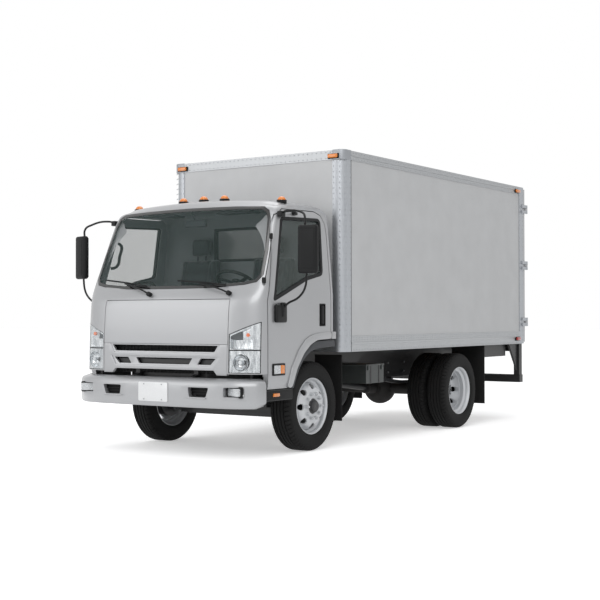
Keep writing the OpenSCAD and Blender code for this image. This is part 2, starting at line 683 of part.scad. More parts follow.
// Rim with its dished disc: out is how far the disc's outer face stands from the middle
module rim(out, bore) {
    s = sign(out);
    o = abs(out);
    difference() {
        union() {
            turned(BARREL);
            turned([for (p = [[bead - 27, 8], [bead - 27, 22], [196, o - 30], [150, o], [bore, o],
                [bore, o - 12], [145, o - 12], [184, o - 38], [bead - 40, 8]]) [p.x, s * p.y]]);
        }
        for (i = [0 : 7]) rotate([0, i * 45 + 22.5, 0]) translate([178, 0, 0]) rotate([90, 0, 0])
            cylinder(h = 300, r = 21, center = true);
    }
}
module tyre() {
    h = tyre_w / 2;
    half = [[bead + 0.3, 76], [rim_r + 0.3, 80], [rim_r + 0.3, 92], [rim_r + 15, h - 8],
        [(rim_r + tyre_r) / 2, h], [tyre_r - 28, h - 4], [tyre_r - 6, h - 18], [tyre_r, h - 38]];
    turned(concat(right_side(half), reversed(half)));
}

spindle_r = 22;
module front_rim() translate([0, front_track / 2, tyre_r]) union() {
    rim(100, 66);
    difference() {
        union() { along_y(0, 0, 24, 118, 68); along_y(0, 0, 118, 136, 55); }
        along_y(0, 0, 20, 112, spindle_r + FIT);
    }
}
module front_rim_left() color([0.8, 0.81, 0.82]) front_rim();
module front_rim_right() color([0.8, 0.81, 0.82]) mirror([0, 1, 0]) front_rim();
module front_tyre_left() color([0.06, 0.06, 0.06]) translate([0, front_track / 2, tyre_r]) tyre();
module front_tyre_right() color([0.06, 0.06, 0.06])
    mirror([0, 1, 0]) translate([0, front_track / 2, tyre_r]) tyre();

// Both rims of a twin, with the hub and brake drum that carry them
module rear_rims() translate([-wheelbase, rear_track / 2, tyre_r]) {
    half = twin_pitch / 2;
    union() {
        rim(-half + 0.01, 76);
        translate([0, -twin_pitch, 0]) rim(half, 76);
        difference() {
            union() {
                along_y(0, 0, -half - 40, -40, 80);
                along_y(0, 0, -half - 140, -half - 12, 168);
            }
            along_y(0, 0, -half - 150, -60, 40 + FIT);
            along_y(0, 0, -half - 150, -half - 60, 80);
        }
    }
}
module rear_rims_left() color([0.8, 0.81, 0.82]) rear_rims();
module rear_rims_right() color([0.8, 0.81, 0.82]) mirror([0, 1, 0]) rear_rims();
module twin_tyres() translate([-wheelbase, rear_track / 2, tyre_r])
    for (y = [0, -twin_pitch]) translate([0, y, 0]) tyre();
module rear_tyres_left() color([0.06, 0.06, 0.06]) twin_tyres();
module rear_tyres_right() color([0.06, 0.06, 0.06]) mirror([0, 1, 0]) twin_tyres();

// Steering knuckle: two ears on the king pin, brake drum, spindle and an arm for the tie rod
arm = [-165, king_w / 2 - 60, tyre_r - 88];
module knuckle() {
    k = king_w / 2;
    z = tyre_r;
    difference() {
        union() {
            for (s = [0, 1]) {
                translate([0, k, z + (s ? 58 : -90)]) cylinder(h = 32, r = 34);
                slab([-34, k, z + (s ? 58 : -90)], [34, k + 60, z + (s ? 90 : -58)]);
            }
            slab([-45, k + 40, z - 90], [45, k + 60, z + 90]);
            along_y(0, z, k + 45, k + 118, 160);
            along_y(0, z, k + 110, front_track / 2 + 108, spindle_r);
            bar([0, k, arm.z], arm, 14);
            translate([arm.x, arm.y, arm.z - 16]) cylinder(h = 32, r = 20);
        }
        translate([0, k, z - 130]) cylinder(h = 260, r = 15 + FIT);
        translate([arm.x, arm.y, arm.z - 17]) cylinder(h = 34, r = 8 + FIT);
    }
}
module knuckle_left() color([0.15, 0.15, 0.16]) knuckle();
module knuckle_right() color([0.15, 0.15, 0.16]) mirror([0, 1, 0]) knuckle();

// Tie rod: pinned in the left arm, its right end running free under the right arm
module tie_rod() color([0.12, 0.12, 0.12]) union() {
    z = arm.z - 36;
    bar([arm.x, -arm.y, z], [arm.x, arm.y, z], 13);
    for (y = [arm.y, -arm.y]) translate([arm.x, y, z - 15]) cylinder(h = 30, r = 19);
    translate([arm.x, arm.y, z]) cylinder(h = 50, r = 8);
}

// ---- nodes -----------------------------------------------------------------------------------

from_axle() {
    frame();
    front_bumper();
    front_axle();
    rear_axle();
    leaf_springs();
    engine();
    drive_shaft();
    exhaust();
    fuel_tank();
    battery_box();
    mudflaps();
    underride_guard();
    tail_lamps();
    subframe();
    load_floor();
    front_wall();
    side_walls();
    load_roof();
    corner_posts();
    body_rails();
    rear_frame();
    marker_lamps();
    rear_door_left();
    rear_door_right();
    cab_front();
    cab_pillars();
    cab_roof();
    cab_back_wall();
    cab_floor();
    arch_lips();
    windscreen();
    rear_window();
    grille();
    headlamps();
    roof_lamps();
    dashboard();
    driver_seat();
    passenger_seat();
    steering_wheel();
    door_left();
    door_right();
    door_glass_left();
    door_glass_right();
    mirror_left();
    mirror_right();
    knuckle_left();
    knuckle_right();
    tie_rod();
    front_rim_left();
    front_rim_right();
    front_tyre_left();
    front_tyre_right();
    rear_rims_left();
    rear_rims_right();
    rear_tyres_left();
    rear_tyres_right();
}
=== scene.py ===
"""A light tilt-cab box truck: ladder frame, twin rear wheels and a riveted load body."""
import math
import bpy
from mathutils import Vector, Matrix


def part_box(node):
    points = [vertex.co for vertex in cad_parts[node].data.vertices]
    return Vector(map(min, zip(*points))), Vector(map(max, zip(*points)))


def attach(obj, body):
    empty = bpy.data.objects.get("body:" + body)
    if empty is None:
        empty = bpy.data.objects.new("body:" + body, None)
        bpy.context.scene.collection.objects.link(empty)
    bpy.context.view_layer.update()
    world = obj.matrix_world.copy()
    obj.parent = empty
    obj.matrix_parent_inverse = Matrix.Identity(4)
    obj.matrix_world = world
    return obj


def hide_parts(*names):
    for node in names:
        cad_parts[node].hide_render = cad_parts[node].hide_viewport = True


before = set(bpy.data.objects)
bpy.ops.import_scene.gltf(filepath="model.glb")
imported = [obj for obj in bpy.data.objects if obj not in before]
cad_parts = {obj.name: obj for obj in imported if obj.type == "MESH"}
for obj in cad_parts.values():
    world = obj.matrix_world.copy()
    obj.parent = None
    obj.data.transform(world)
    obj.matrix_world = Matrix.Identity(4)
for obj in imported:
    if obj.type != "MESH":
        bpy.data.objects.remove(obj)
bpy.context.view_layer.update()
bpy.ops.object.select_all(action="DESELECT")

# ---- Cab skin ---------------------------------------------------------------------------
# Pressed steel panels in silver enamel. One closed body is pulled into shape from a box,
# given the doors' real thickness, and then the screens, doors, lamps and arches are cut.

AXLE = (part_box("front_tyre_left")[0].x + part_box("front_tyre_left")[1].x) / 2
SIDES = {"left": 1, "right": -1}
DOOR_GAP = 0.008


def linear(hex_colour):
    """sRGB hex to the linear colour that a socket takes."""
    parts = [int(hex_colour[i:i + 2], 16) / 255 for i in (1, 3, 5)]
    return [c / 12.92 if c <= 0.04045 else ((c + 0.055) / 1.055) ** 2.4 for c in parts] + [1.0]


def add_node(tree, kind, settings=None, links=None):
    """A node with its sockets or properties set, fed by (node, output) pairs."""
    node = tree.nodes.new(kind)
    for key, value in (settings or {}).items():
        if key in node.inputs:
            node.inputs[key].default_value = value
        elif isinstance(key, int):
            node.inputs[key].default_value = value
        else:
            setattr(node, key, value)
    for key, (source, output) in (links or {}).items():
        tree.links.new(source.outputs[output], node.inputs[key])
    return node


def finish_of(name, shader, colours=None, cell_mm=2.0, kind="noise", bump=0.0, rough=None, stretch=(1, 1, 1)):
    """A finish whose colour, roughness and relief follow one pattern of a real size."""
    made = bpy.data.materials.new(name)
    made.use_nodes = True
    tree = made.node_tree
    surface = tree.nodes["Principled BSDF"]
    for key, value in shader.items():
        surface.inputs[key].default_value = value
    place = add_node(tree, "ShaderNodeTexCoord")
    sized = add_node(tree, "ShaderNodeMapping", {"Scale": [s * 1000 / cell_mm for s in stretch]},
                     {"Vector": (place, "Object")})
    if kind == "noise":
        pattern = add_node(tree, "ShaderNodeTexNoise", {"Scale": 1.0, "Detail": 4.0}, {"Vector": (sized, 0)})
    else:
        pattern = add_node(tree, "ShaderNodeTexVoronoi", {"Scale": 1.0}, {"Vector": (sized, 0)})
    value = (pattern, "Fac" if kind == "noise" else "Distance")
    if colours:
        ramp = add_node(tree, "ShaderNodeValToRGB", {}, {"Fac": value})
        ramp.color_ramp.elements[0].position, ramp.color_ramp.elements[1].position = 0.3, 0.7
        ramp.color_ramp.elements[0].color = linear(colours[0])
        ramp.color_ramp.elements[1].color = linear(colours[1])
        tree.links.new(ramp.outputs["Color"], surface.inputs["Base Color"])
    if rough:
        spread = add_node(tree, "ShaderNodeMapRange", {"To Min": rough[0], "To Max": rough[1]}, {"Value": value})
        tree.links.new(spread.outputs["Result"], surface.inputs["Roughness"])
    if bump:
        relief = add_node(tree, "ShaderNodeBump", {"Strength": 1.0, "Distance": bump / 1000}, {"Height": value})
        tree.links.new(relief.outputs["Normal"], surface.inputs["Normal"])
    return made


# Metallic enamel under clear lacquer: fine aluminium flakes, a soft gloss over a satin base.
silver_enamel = finish_of("silver_metallic_enamel", {"Metallic": 0.55, "Coat Weight": 0.6, "Coat Roughness": 0.12},
                          ("#969799", "#A1A2A4"), cell_mm=1.6, rough=(0.36, 0.46), bump=0.004)
# Injection-moulded ABS with a fine leather grain, which scatters the light to a dull dark grey.
grained_abs = finish_of("grained_black_abs", {"Specular IOR Level": 0.22}, ("#0C0D0E", "#151617"), cell_mm=1.5,
                        kind="cells", rough=(0.5, 0.65), bump=0.08)
# Dark grey moulded cab lining, softer and a little lighter than the outside trim.
cab_lining = finish_of("dark_moulded_lining", {"Specular IOR Level": 0.3}, ("#2C3134", "#363B3E"), cell_mm=2.5,
                       kind="cells", rough=(0.6, 0.75), bump=0.1)

# Pale grey trim of the walls and the roof inside, pressed felt over board; part of its paleness is painted light,
# lifted above the trim's own grey to brighten the dim cab inside.
lining_and_painted_light = finish_of("pale_grey_trim_and_painted_light", {"Specular IOR Level": 0.2}, ("#7C8183", "#888D8F"), cell_mm=3, rough=(0.8, 0.92), bump=0.1)


def deselect():
    if bpy.context.object and bpy.context.object.mode == "EDIT":
        bpy.ops.object.mode_set(mode="OBJECT")
    bpy.ops.object.select_all(action="DESELECT")


def take(piece):
    """Makes one piece the selected and active one."""
    deselect()
    piece.select_set(True)
    bpy.context.view_layer.objects.active = piece
    return piece


def modify(piece, kind, **settings):
    """Adds a modifier and applies it."""
    take(piece)
    tool = piece.modifiers.new(kind.lower(), kind)
    for key, value in settings.items():
        setattr(tool, key, value)
    bpy.ops.object.modifier_apply(modifier=tool.name)
    return piece


def carve(piece, cutter, how="DIFFERENCE", keep=False):
    """Cuts a piece by another, or keeps what they share."""
    modify(piece, "BOOLEAN", operation=how, object=cutter, solver="EXACT")
    if not keep:
        bpy.data.objects.remove(cutter, do_unlink=True)
    return piece


def block(name, low, high, round_mm=0.0, steps=2):
    """A cube from its lowest to its highest corner, its edges rounded."""
    low, high = Vector(low), Vector(high)
    deselect()
    bpy.ops.mesh.primitive_cube_add(size=1, location=(low + high) / 2, scale=high - low)
    piece = bpy.context.object
    piece.name = name
    bpy.ops.object.transform_apply(location=True, rotation=True, scale=True)
    if round_mm:
        modify(piece, "BEVEL", width=round_mm / 1000, segments=steps, limit_method="NONE")
    return piece


def rounded(outline, radius, steps=5):
    """An outline with each corner turned into an arc."""
    points = []
    count = len(outline)
    for i, corner in enumerate(outline):
        here = Vector(corner)
        back, ahead = Vector(outline[i - 1]) - here, Vector(outline[(i + 1) % count]) - here
        reach = min(radius, back.length * 0.49, ahead.length * 0.49)
        start, end = here + back.normalized() * reach, here + ahead.normalized() * reach
        for k in range(steps + 1):
            t = k / steps
            points.append(start * (1 - t) ** 2 + here * 2 * t * (1 - t) + end * t ** 2)
    return points


def prism(name, outline, axis, low, high, round_mm=0.0, steps=2):
    """An outline pulled along an axis: [y, z] along x, [x, z] along y or [x, y] along z."""
    place = {"x": lambda p, d: (d, p[0], p[1]), "y": lambda p, d: (p[0], d, p[1]), "z": lambda p, d: (p[0], p[1], d)}[axis]
    deselect()
    bpy.ops.mesh.primitive_circle_add(vertices=len(outline), fill_type="NGON")
    piece = bpy.context.object
    piece.name = name
    for vertex, point in zip(piece.data.vertices, outline):
        vertex.co = place(point, low)
    bpy.ops.object.mode_set(mode="EDIT")
    bpy.ops.mesh.select_all(action="SELECT")
    pull = Vector(place((0, 0), high)) - Vector(place((0, 0), low))
    bpy.ops.mesh.extrude_region_move(TRANSFORM_OT_translate={"value": pull})
    bpy.ops.mesh.select_all(action="SELECT")
    bpy.ops.mesh.normals_make_consistent(inside=False)
    bpy.ops.object.mode_set(mode="OBJECT")
    if round_mm:
        modify(piece, "BEVEL", width=round_mm / 1000, segments=steps, limit_method="ANGLE", angle_limit=math.radians(40))
    return piece


def twin(piece, name):
    """A copy with a mesh of its own."""
    new = piece.copy()
    new.data = piece.data.copy()
    new.name = name
    bpy.context.collection.objects.link(new)
    return new


def flipped(piece, name):
    """The same piece on the truck's other side."""
    new = twin(piece, name)
    new.data.transform(Matrix.Scale(-1, 4, (0, 1, 0)))
    new.data.flip_normals()
    return new


def joined(name, *group):
    """Several solids made one piece."""
    take(group[0])
    for piece in group:
        piece.select_set(True)
    if len(group) > 1:
        bpy.ops.object.join()
    group[0].name = name
    return group[0]


def fit(piece, body, material, stands_for=(), smooth=32):
    """Moves a piece from the front axle's frame to its place, with its finish and its body."""
    take(piece)
    if not (piece.data.materials and piece.data.materials[0]):
        piece.data.materials.clear()
        piece.data.materials.append(material)
    piece.location.x += AXLE
    bpy.ops.object.transform_apply(location=True, rotation=True, scale=True)
    if smooth:
        bpy.ops.object.shade_smooth_by_angle(angle=math.radians(smooth))
    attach(piece, body)
    if stands_for:
        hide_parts(*stands_for)
    return piece


def along(table, at):
    """Straight-line reading of a table of (place, value) pairs."""
    for (a, va), (b, vb) in zip(table, table[1:]):
        if at <= b:
            return va + (vb - va) * max(0.0, (at - a) / (b - a))
    return table[-1][1]


CAB_BACK, CAB_LOW, CAB_TOP, CAB_HALF = -0.22, 0.56, 2.262, 1.012
FRONT_X = [(0.56, 1.010), (0.98, 1.002), (1.20, 0.992), (1.32, 0.983), (1.38, 0.966), (1.43, 0.930),
           (1.50, 0.899), (2.10, 0.670), (2.165, 0.645), (2.262, 0.582)]
HALF_Y = [(0.56, 1.012), (1.40, 1.012), (2.08, 0.950), (2.13, 0.934), (2.175, 0.905), (2.262, 0.872)]
# Distance outwards, and how far that lies behind the middle of the nose; then the other way round its corner
LOW_NOSE = [(0, 0), (0.25, 0.001), (0.55, 0.003), (0.74, 0.008), (0.865, 0.034), (0.925, 0.062), (0.966, 0.094)]
HIGH_NOSE = [(0, 0), (0.25, 0.003), (0.55, 0.014), (0.76, 0.029), (0.89, 0.042), (0.952, 0.055), (0.992, 0.082)]
LOW_CORNER = [(0, 0.966), (0.034, 0.992), (0.072, 1.006), (0.118, 1.012), (0.2, 1.012)]
HIGH_CORNER = [(0, 0.992), (0.034, 1.005), (0.072, 1.010), (0.118, 1.012), (0.2, 1.012)]
ACROSS = [0, 0.25, 0.55, 0.75, 0.88, 0.95, 1.0]
ALONG = [0.0, 0.03, 0.1, 0.35, 0.6, 0.8, 0.9, 0.935, 0.97, 1.0]
UP = [CAB_LOW, 0.75, 0.95, 1.15, 1.29, 1.36, 1.41, 1.46, 1.54, 1.72, 1.92, 2.06, 2.13, 2.175, CAB_TOP]
CROWN = [(0, 0.0), (0.25, 0.004), (0.55, 0.013), (0.75, 0.022), (0.88, 0.031), (0.95, 0.041), (1.0, 0.06)]
ROOF_ENDS = [(0, 0.034), (0.03, 0.014), (0.1, 0.0), (0.8, 0.0), (0.9, 0.005), (0.935, 0.011), (0.97, 0.021), (1.0, 0.036)]


def cab_point(u, v, z):
    """A corner of the starting box, at shares of its length and width and a height, pulled to the cab's form."""
    high = min(1.0, max(0.0, (z - 1.34) / 0.13))
    half = along(HALF_Y, z)
    share = abs(v)
    wide = [a + (b - a) * high for (a, _), (b, _) in zip(LOW_NOSE, HIGH_NOSE)]
    drop = [a + (b - a) * high for (_, a), (_, b) in zip(LOW_NOSE, HIGH_NOSE)]
    y = along(list(zip(ACROSS, wide)), share) * half / CAB_HALF
    nose = along(FRONT_X, z) - along(list(zip(ACROSS, drop)), share)
    x = CAB_BACK + u * (nose - CAB_BACK)
    if share > 0.999:
        behind = nose - x
        low_y, high_y = along(LOW_CORNER, behind), along(HIGH_CORNER, behind)
        y = (low_y + (high_y - low_y) * high) * half / CAB_HALF
        if u < 0.001:
            y -= 0.022
    elif u < 0.001:
        y *= 0.985
    if u < 0.001 and share > 0.94:
        x += 0.012
    if z >= CAB_TOP - 1e-4:
        z -= along(CROWN, share) + along(ROOF_ENDS, u)
        x = min(x, 0.6)
    return Vector((x, math.copysign(y, v), z))


def cab_body():
    """The closed outside of the cab."""
    deselect()
    bpy.ops.mesh.primitive_cube_add(size=2, location=(0, 0, 0))
    body = bpy.context.object
    body.name = "cab_form"
    bpy.ops.object.mode_set(mode="EDIT")
    cuts = [("x", 2 * u - 1) for u in ALONG[1:-1]] + [("y", s * v) for v in ACROSS[:-1] for s in ((1,) if v == 0 else (1, -1))]
    cuts += [("z", 2 * (z - CAB_LOW) / (CAB_TOP - CAB_LOW) - 1) for z in UP[1:-1]]
    for axis, at in cuts:
        turn = [axis == "x", axis == "y", axis == "z"]
        bpy.ops.mesh.select_all(action="SELECT")
        bpy.ops.mesh.bisect(plane_co=[at * t for t in turn], plane_no=[float(t) for t in turn])
    bpy.ops.object.mode_set(mode="OBJECT")
    for vertex in body.data.vertices:
        x, y, z = vertex.co
        vertex.co = cab_point((x + 1) / 2, y, CAB_LOW + (z + 1) / 2 * (CAB_TOP - CAB_LOW))
    modify(body, "SUBSURF", levels=2, render_levels=2)
    body.data.materials.append(silver_enamel)
    # The inner faces take the pale lining, whose colour is partly painted light that brightens the cab inside.
    body.data.materials.append(lining_and_painted_light)
    return body


def skin(form, name, wall, inset=0.0):
    """A wall of a given thickness under the cab's outside, a little inside it if asked."""
    shell = twin(form, name)
    if inset:
        modify(shell, "DISPLACE", strength=-inset, mid_level=0.0)
    modify(shell, "SOLIDIFY", thickness=wall, offset=-1, material_offset=1)
    return shell


def hollow(form, name, wall):
    """The closed form with its inside taken out, the inner faces lined."""
    shell, core = twin(form, name), twin(form, "core")
    for poly in core.data.polygons:
        poly.material_index = 1
    low = Vector([min(v.co[i] for v in core.data.vertices) for i in range(3)])
    high = Vector([max(v.co[i] for v in core.data.vertices) for i in range(3)])
    middle, size = (low + high) / 2, high - low
    shrink = Matrix.Diagonal([(s - 2 * wall) / s for s in size] + [1.0])
    core.data.transform(Matrix.Translation(middle) @ shrink @ Matrix.Translation(-middle))
    return carve(shell, core)


SCREEN = [(0, 1.452), (0.5, 1.456), (0.795, 1.478), (0.905, 1.50), (0.948, 1.56), (0.936, 1.78), (0.892, 2.06),
          (0.862, 2.13), (0.80, 2.166), (0.5, 2.178), (0, 2.184)]
SCREEN_EDGE = SCREEN + [(-y, z) for y, z in reversed(SCREEN[1:-1])]
DOOR_EDGE = [(0.830, 0.596), (0.826, 1.340), (0.645, 2.000), (0.600, 2.085), (0.505, 2.140), (0.0, 2.150),
             (-0.085, 2.120), (-0.130, 2.040), (-0.140, 1.950), (-0.140, 1.008), (0.093, 1.000), (0.200, 0.962),
             (0.307, 0.887), (0.411, 0.762), (0.493, 0.596)]
WINDOW_EDGE = [(0.746, 1.352), (0.556, 2.040), (0.530, 2.062), (-0.030, 2.080), (-0.050, 2.062), (-0.022, 1.590),
               (0.235, 1.540)]
LAMP_EDGE = [(0.712, 0.733), (0.978, 0.733), (0.978, 1.167), (0.712, 1.061)]
GRILLE_EDGE = (0.700, 0.723, 0.975)


def grown(outline, by):
    """An outline moved outwards all round."""
    centre = sum((Vector(p) for p in outline), Vector((0, 0))) / len(outline)
    count, moved = len(outline), []
    for i in range(count):
        before, here, after = Vector(outline[i - 1]), Vector(outline[i]), Vector(outline[(i + 1) % count])
        a, b = (here - before).normalized(), (after - here).normalized()
        na, nb = Vector((a.y, -a.x)), Vector((b.y, -b.x))
        if na.dot(here - centre) + nb.dot(here - centre) < 0:
            na, nb = -na, -nb
        moved.append(here + (na + nb) * by / (1 + na.dot(nb)))
    return moved


form = cab_body()
shell = hollow(form, "cab_skin", 0.040)

# The doors are the same wall inside their shut lines, with the window cut out of them
door_side = {}
for side, sign in SIDES.items():
    door = twin(shell, "door_skin_" + side)
    tool = prism("tool", DOOR_EDGE, "y", 0.75 * sign, 1.1 * sign)
    carve(door, tool, "INTERSECT")
    carve(door, prism("tool", rounded(WINDOW_EDGE, 0.04), "y", 0.7 * sign, 1.1 * sign))
    door_side[side] = door
    carve(shell, prism("tool", grown(DOOR_EDGE, DOOR_GAP), "y", 0.75 * sign, 1.1 * sign))
    carve(shell, prism("tool", [(sign * y, z) for y, z in LAMP_EDGE], "x", 0.872, 1.1))
carve(shell, prism("tool", SCREEN_EDGE, "x", 0.45, 1.1))
carve(shell, prism("tool", rounded([(-0.34, 1.75), (0.34, 1.75), (0.34, 2.05), (-0.34, 2.05)], 0.05), "x", -0.3, -0.1))
carve(shell, block("tool", (0.85, -GRILLE_EDGE[0], 0.5), (1.1, GRILLE_EDGE[0], GRILLE_EDGE[2])))
# Underneath, the skin ends at the nose panel, the arches and the back wall's foot
carve(shell, prism("tool", [(-0.3, 0.5), (1.1, 0.5), (1.1, 0.725), (0.838, 0.725), (0.838, 0.70), (-0.16, 0.70), (-0.16, 0.936),
                            (-0.3, 0.936)], "y", -1.1, 1.1))
carve(shell, block("tool", (-0.18, -0.965, 0.5), (0.95, 0.965, 0.70)))
ARCH = [(0.510, 0.5), (0.497, 0.597), (0.415, 0.765), (0.310, 0.891), (0.203, 0.966), (0.093, 1.004), (-0.3, 1.008), (-0.3, 0.5)]
for sign in (1, -1):
    carve(shell, prism("tool", ARCH, "y", 0.6 * sign, 1.1 * sign))

# Shut lines of the nose's front panel, which lifts for the daily checks
carve(shell, block("tool", (0.90, -0.703, 1.356), (1.1, 0.703, 1.361)))
for sign in (1, -1):
    carve(shell, block("tool", (0.955, sign * 0.703 - 0.0025, 0.97), (1.1, sign * 0.703 + 0.0025, 1.361)))
fit(shell, "cab", silver_enamel, ("cab_front", "cab_pillars", "cab_roof", "cab_back_wall"))

# ---- Doors ------------------------------------------------------------------------------
# Steel doors in the same enamel, with a raised pressing round the wheel arch, a moulded pull
# handle in its recess, a side lamp, and a rubber channel that carries the glass.

# Soft black rubber: matt, with a faint bloom.
channel_rubber = finish_of("glazing_rubber", {"Specular IOR Level": 0.3}, ("#101112", "#17181A"), cell_mm=3, rough=(0.6, 0.75), bump=0.02)


def tinted(name, colour, cover):
    """Toughened glass with a green tint, seen through and mirroring the sky."""
    glass = bpy.data.materials.new(name)
    glass.use_nodes = True
    tree = glass.node_tree
    surface = tree.nodes["Principled BSDF"]
    surface.inputs["Base Color"].default_value = linear(colour)
    surface.inputs["Roughness"].default_value = 0.02
    surface.inputs["IOR"].default_value = 1.52
    place = add_node(tree, "ShaderNodeTexCoord")
    haze = add_node(tree, "ShaderNodeTexNoise", {"Scale": 3.0, "Detail": 2.0}, {"Vector": (place, "Object")})
    edge = add_node(tree, "ShaderNodeLayerWeight", {"Blend": 0.2})
    film = add_node(tree, "ShaderNodeMapRange", {"To Min": cover - 0.02, "To Max": cover + 0.02}, {"Value": (haze, "Fac")})
    total = add_node(tree, "ShaderNodeMath", {"operation": "MULTIPLY_ADD", "use_clamp": True}, {0: (edge, "Facing"), 2: (film, 0)})
    total.inputs[1].default_value = 0.5
    side_of = add_node(tree, "ShaderNodeNewGeometry")
    outer = add_node(tree, "ShaderNodeMapRange", {"To Min": 1.0, "To Max": 0.04}, {"Value": (side_of, "Backfacing")})
    cover_here = add_node(tree, "ShaderNodeMath", {"operation": "MULTIPLY"}, {0: (total, 0), 1: (outer, 0)})
    tree.links.new(cover_here.outputs[0], surface.inputs["Alpha"])
    return glass


side_glass = tinted("tinted_side_glass", "#46534F", 0.34)
# Amber and clear acrylic mouldings over a bright reflector.
amber_acrylic = finish_of("amber_acrylic", {"Coat Weight": 0.8, "IOR": 1.49}, ("#CB680A", "#DE8212"), cell_mm=4, kind="cells", rough=(0.15, 0.3), bump=0.3)
clear_acrylic = finish_of("clear_prismatic_acrylic", {"Coat Weight": 0.9, "IOR": 1.49}, ("#8D9092", "#D2D5D7"), cell_mm=5, kind="cells", rough=(0.1, 0.25), bump=0.3)

FLARE = [(0.493, 0.597), (0.411, 0.762), (0.307, 0.887), (0.201, 0.962), (0.093, 1.0), (-0.14, 1.008), (-0.14, 1.072),
         (0.028, 1.068), (0.180, 1.048), (0.286, 1.004), (0.391, 0.912), (0.493, 0.764), (0.560, 0.597)]
for side, sign in SIDES.items():
    y = CAB_HALF * sign
    door = door_side[side]
    flare = prism("flare", rounded(FLARE, 0.03, 3), "y", min(y - 0.02 * sign, y + 0.013 * sign), max(y - 0.02 * sign, y + 0.013 * sign), 7, 3)
    carve(door, flare, "UNION")
    # Recess for the handle, with the rounded pull standing in it
    recess = block("tool", (-0.052, y - 0.03, 1.125), (0.046, y + 0.03, 1.322), 14, 3)
    carve(door, recess)
    fit(door, side + "_door", silver_enamel, ("door_" + side,))
    inner, outer = y - 0.03 * sign, y + 0.006 * sign
    cup = block("handle_cup_" + side, (-0.058, min(y - 0.034 * sign, y + 0.003 * sign), 1.117), (0.052, max(y - 0.034 * sign, y + 0.003 * sign), 1.330), 12, 3)
    carve(cup, block("tool", (-0.046, y - 0.02, 1.133), (0.040, y + 0.03, 1.314), 10, 2))
    fit(cup, side + "_door", grained_abs)
    pull = block("pull_handle_" + side, (-0.022, min(y - 0.02 * sign, y + 0.012 * sign), 1.140), (0.026, max(y - 0.02 * sign, y + 0.012 * sign), 1.307), 10, 4)
    fit(pull, side + "_door", grained_abs)
    # Glass and its rubber channel follow the cab's own curve
    pane = skin(form, "door_pane_" + side, 0.005, 0.016)
    carve(pane, prism("tool", rounded(grown(WINDOW_EDGE, -0.014), 0.035), "y", 0.7 * sign, 1.1 * sign), "INTERSECT")
    pane.data.materials.clear()
    fit(pane, side + "_door", side_glass, ("door_glass_" + side,))
    rubber = skin(form, "glass_channel_" + side, 0.030, -0.0015)
    carve(rubber, prism("tool", rounded(grown(WINDOW_EDGE, 0.013), 0.05), "y", 0.7 * sign, 1.1 * sign), "INTERSECT")
    carve(rubber, prism("tool", rounded(grown(WINDOW_EDGE, -0.015), 0.035), "y", 0.6 * sign, 1.1 * sign))
    rubber.data.materials.clear()
    fit(rubber, side + "_door", channel_rubber)
    # Side lamp: black frame, clear front half and amber rear half
    frame_block = block("side_lamp_frame_" + side, (0.592, min(y - 0.01 * sign, y + 0.010 * sign), 0.708), (0.778, max(y - 0.01 * sign, y + 0.010 * sign), 0.812), 14, 4)
    carve(frame_block, block("tool", (0.606, y - 0.05, 0.722), (0.764, y + 0.05, 0.798), 8, 2))
    fit(frame_block, side + "_door", grained_abs)
    for name, a, b, finish, slot in (("amber", 0.608, 0.668, amber_acrylic, "amber_lens"), ("clear", 0.669, 0.762, clear_acrylic, "lamp_lens")):
        lens = block("side_lamp_%s_%s" % (name, side), (a, min(y, y + 0.014 * sign), 0.724), (b, max(y, y + 0.014 * sign), 0.796), 6, 3)
        fit(lens, side + "_door", finish)
    # Rear pressing of the arch, behind the door, on the cab itself
    tail = prism("arch_tail_" + side, [(-0.149, 1.006), (-0.215, 1.006), (-0.215, 1.072), (-0.149, 1.072)], "y",
                 min(y - 0.025 * sign, y + 0.011 * sign), max(y - 0.025 * sign, y + 0.011 * sign), 5, 2)
    fit(tail, "cab", silver_enamel)

# ---- Arch lips, sills and steps -----------------------------------------------------------
# Dark grey polypropylene mouldings that hide the welded edges of the cab round the wheel.

LIP = [(0.490, 0.590), (0.404, 0.756), (0.300, 0.880), (0.192, 0.955), (0.086, 0.990), (-0.200, 0.998), (-0.215, 0.98),
       (-0.215, 0.936), (-0.100, 0.934), (0.028, 0.925), (0.110, 0.918), (0.200, 0.892), (0.286, 0.838), (0.352, 0.765), (0.411, 0.675), (0.450, 0.588)]
lips = []
for side, sign in SIDES.items():
    lip = prism("lip_" + side, rounded(LIP, 0.03, 3), "y", min(0.915 * sign, 1.008 * sign), max(0.915 * sign, 1.008 * sign), 8, 3)
    lips.append(lip)
    # The sill below the door, which is also the step, with its reflector
    step = block("step_" + side, (0.466, min(0.84 * sign, 1.010 * sign), 0.497), (0.862, max(0.84 * sign, 1.010 * sign), 0.588), 10, 3)
    carve(step, block("tool", (0.52, sign * 0.93 - 0.05, 0.578), (0.82, sign * 0.93 + 0.05, 0.6)))
    for i in range(5):
        carve(step, block("tool", (0.53 + i * 0.058, min(0.86 * sign, 0.97 * sign), 0.56), (0.57 + i * 0.058, max(0.86 * sign, 0.97 * sign), 0.6)))
    fit(step, "cab", grained_abs)
    amber = block("sill_reflector_" + side, (0.672, min(1.0 * sign, 1.016 * sign), 0.531), (0.764, max(1.0 * sign, 1.016 * sign), 0.559), 3, 2)
    fit(amber, "cab", amber_acrylic)
arch = joined("arch_lips_moulded", *lips)
dark_poly = finish_of("dark_grey_polypropylene", {"Specular IOR Level": 0.35}, ("#3A3C3F", "#434548"), cell_mm=1.5, kind="cells", rough=(0.5, 0.65), bump=0.05)
fit(arch, "cab", dark_poly, ("arch_lips",))

# ---- Windscreen ---------------------------------------------------------------------------
# One curved laminated pane, green in the thickness, with a black fired-on border that hides
# the adhesive. Two wipers park along its foot.

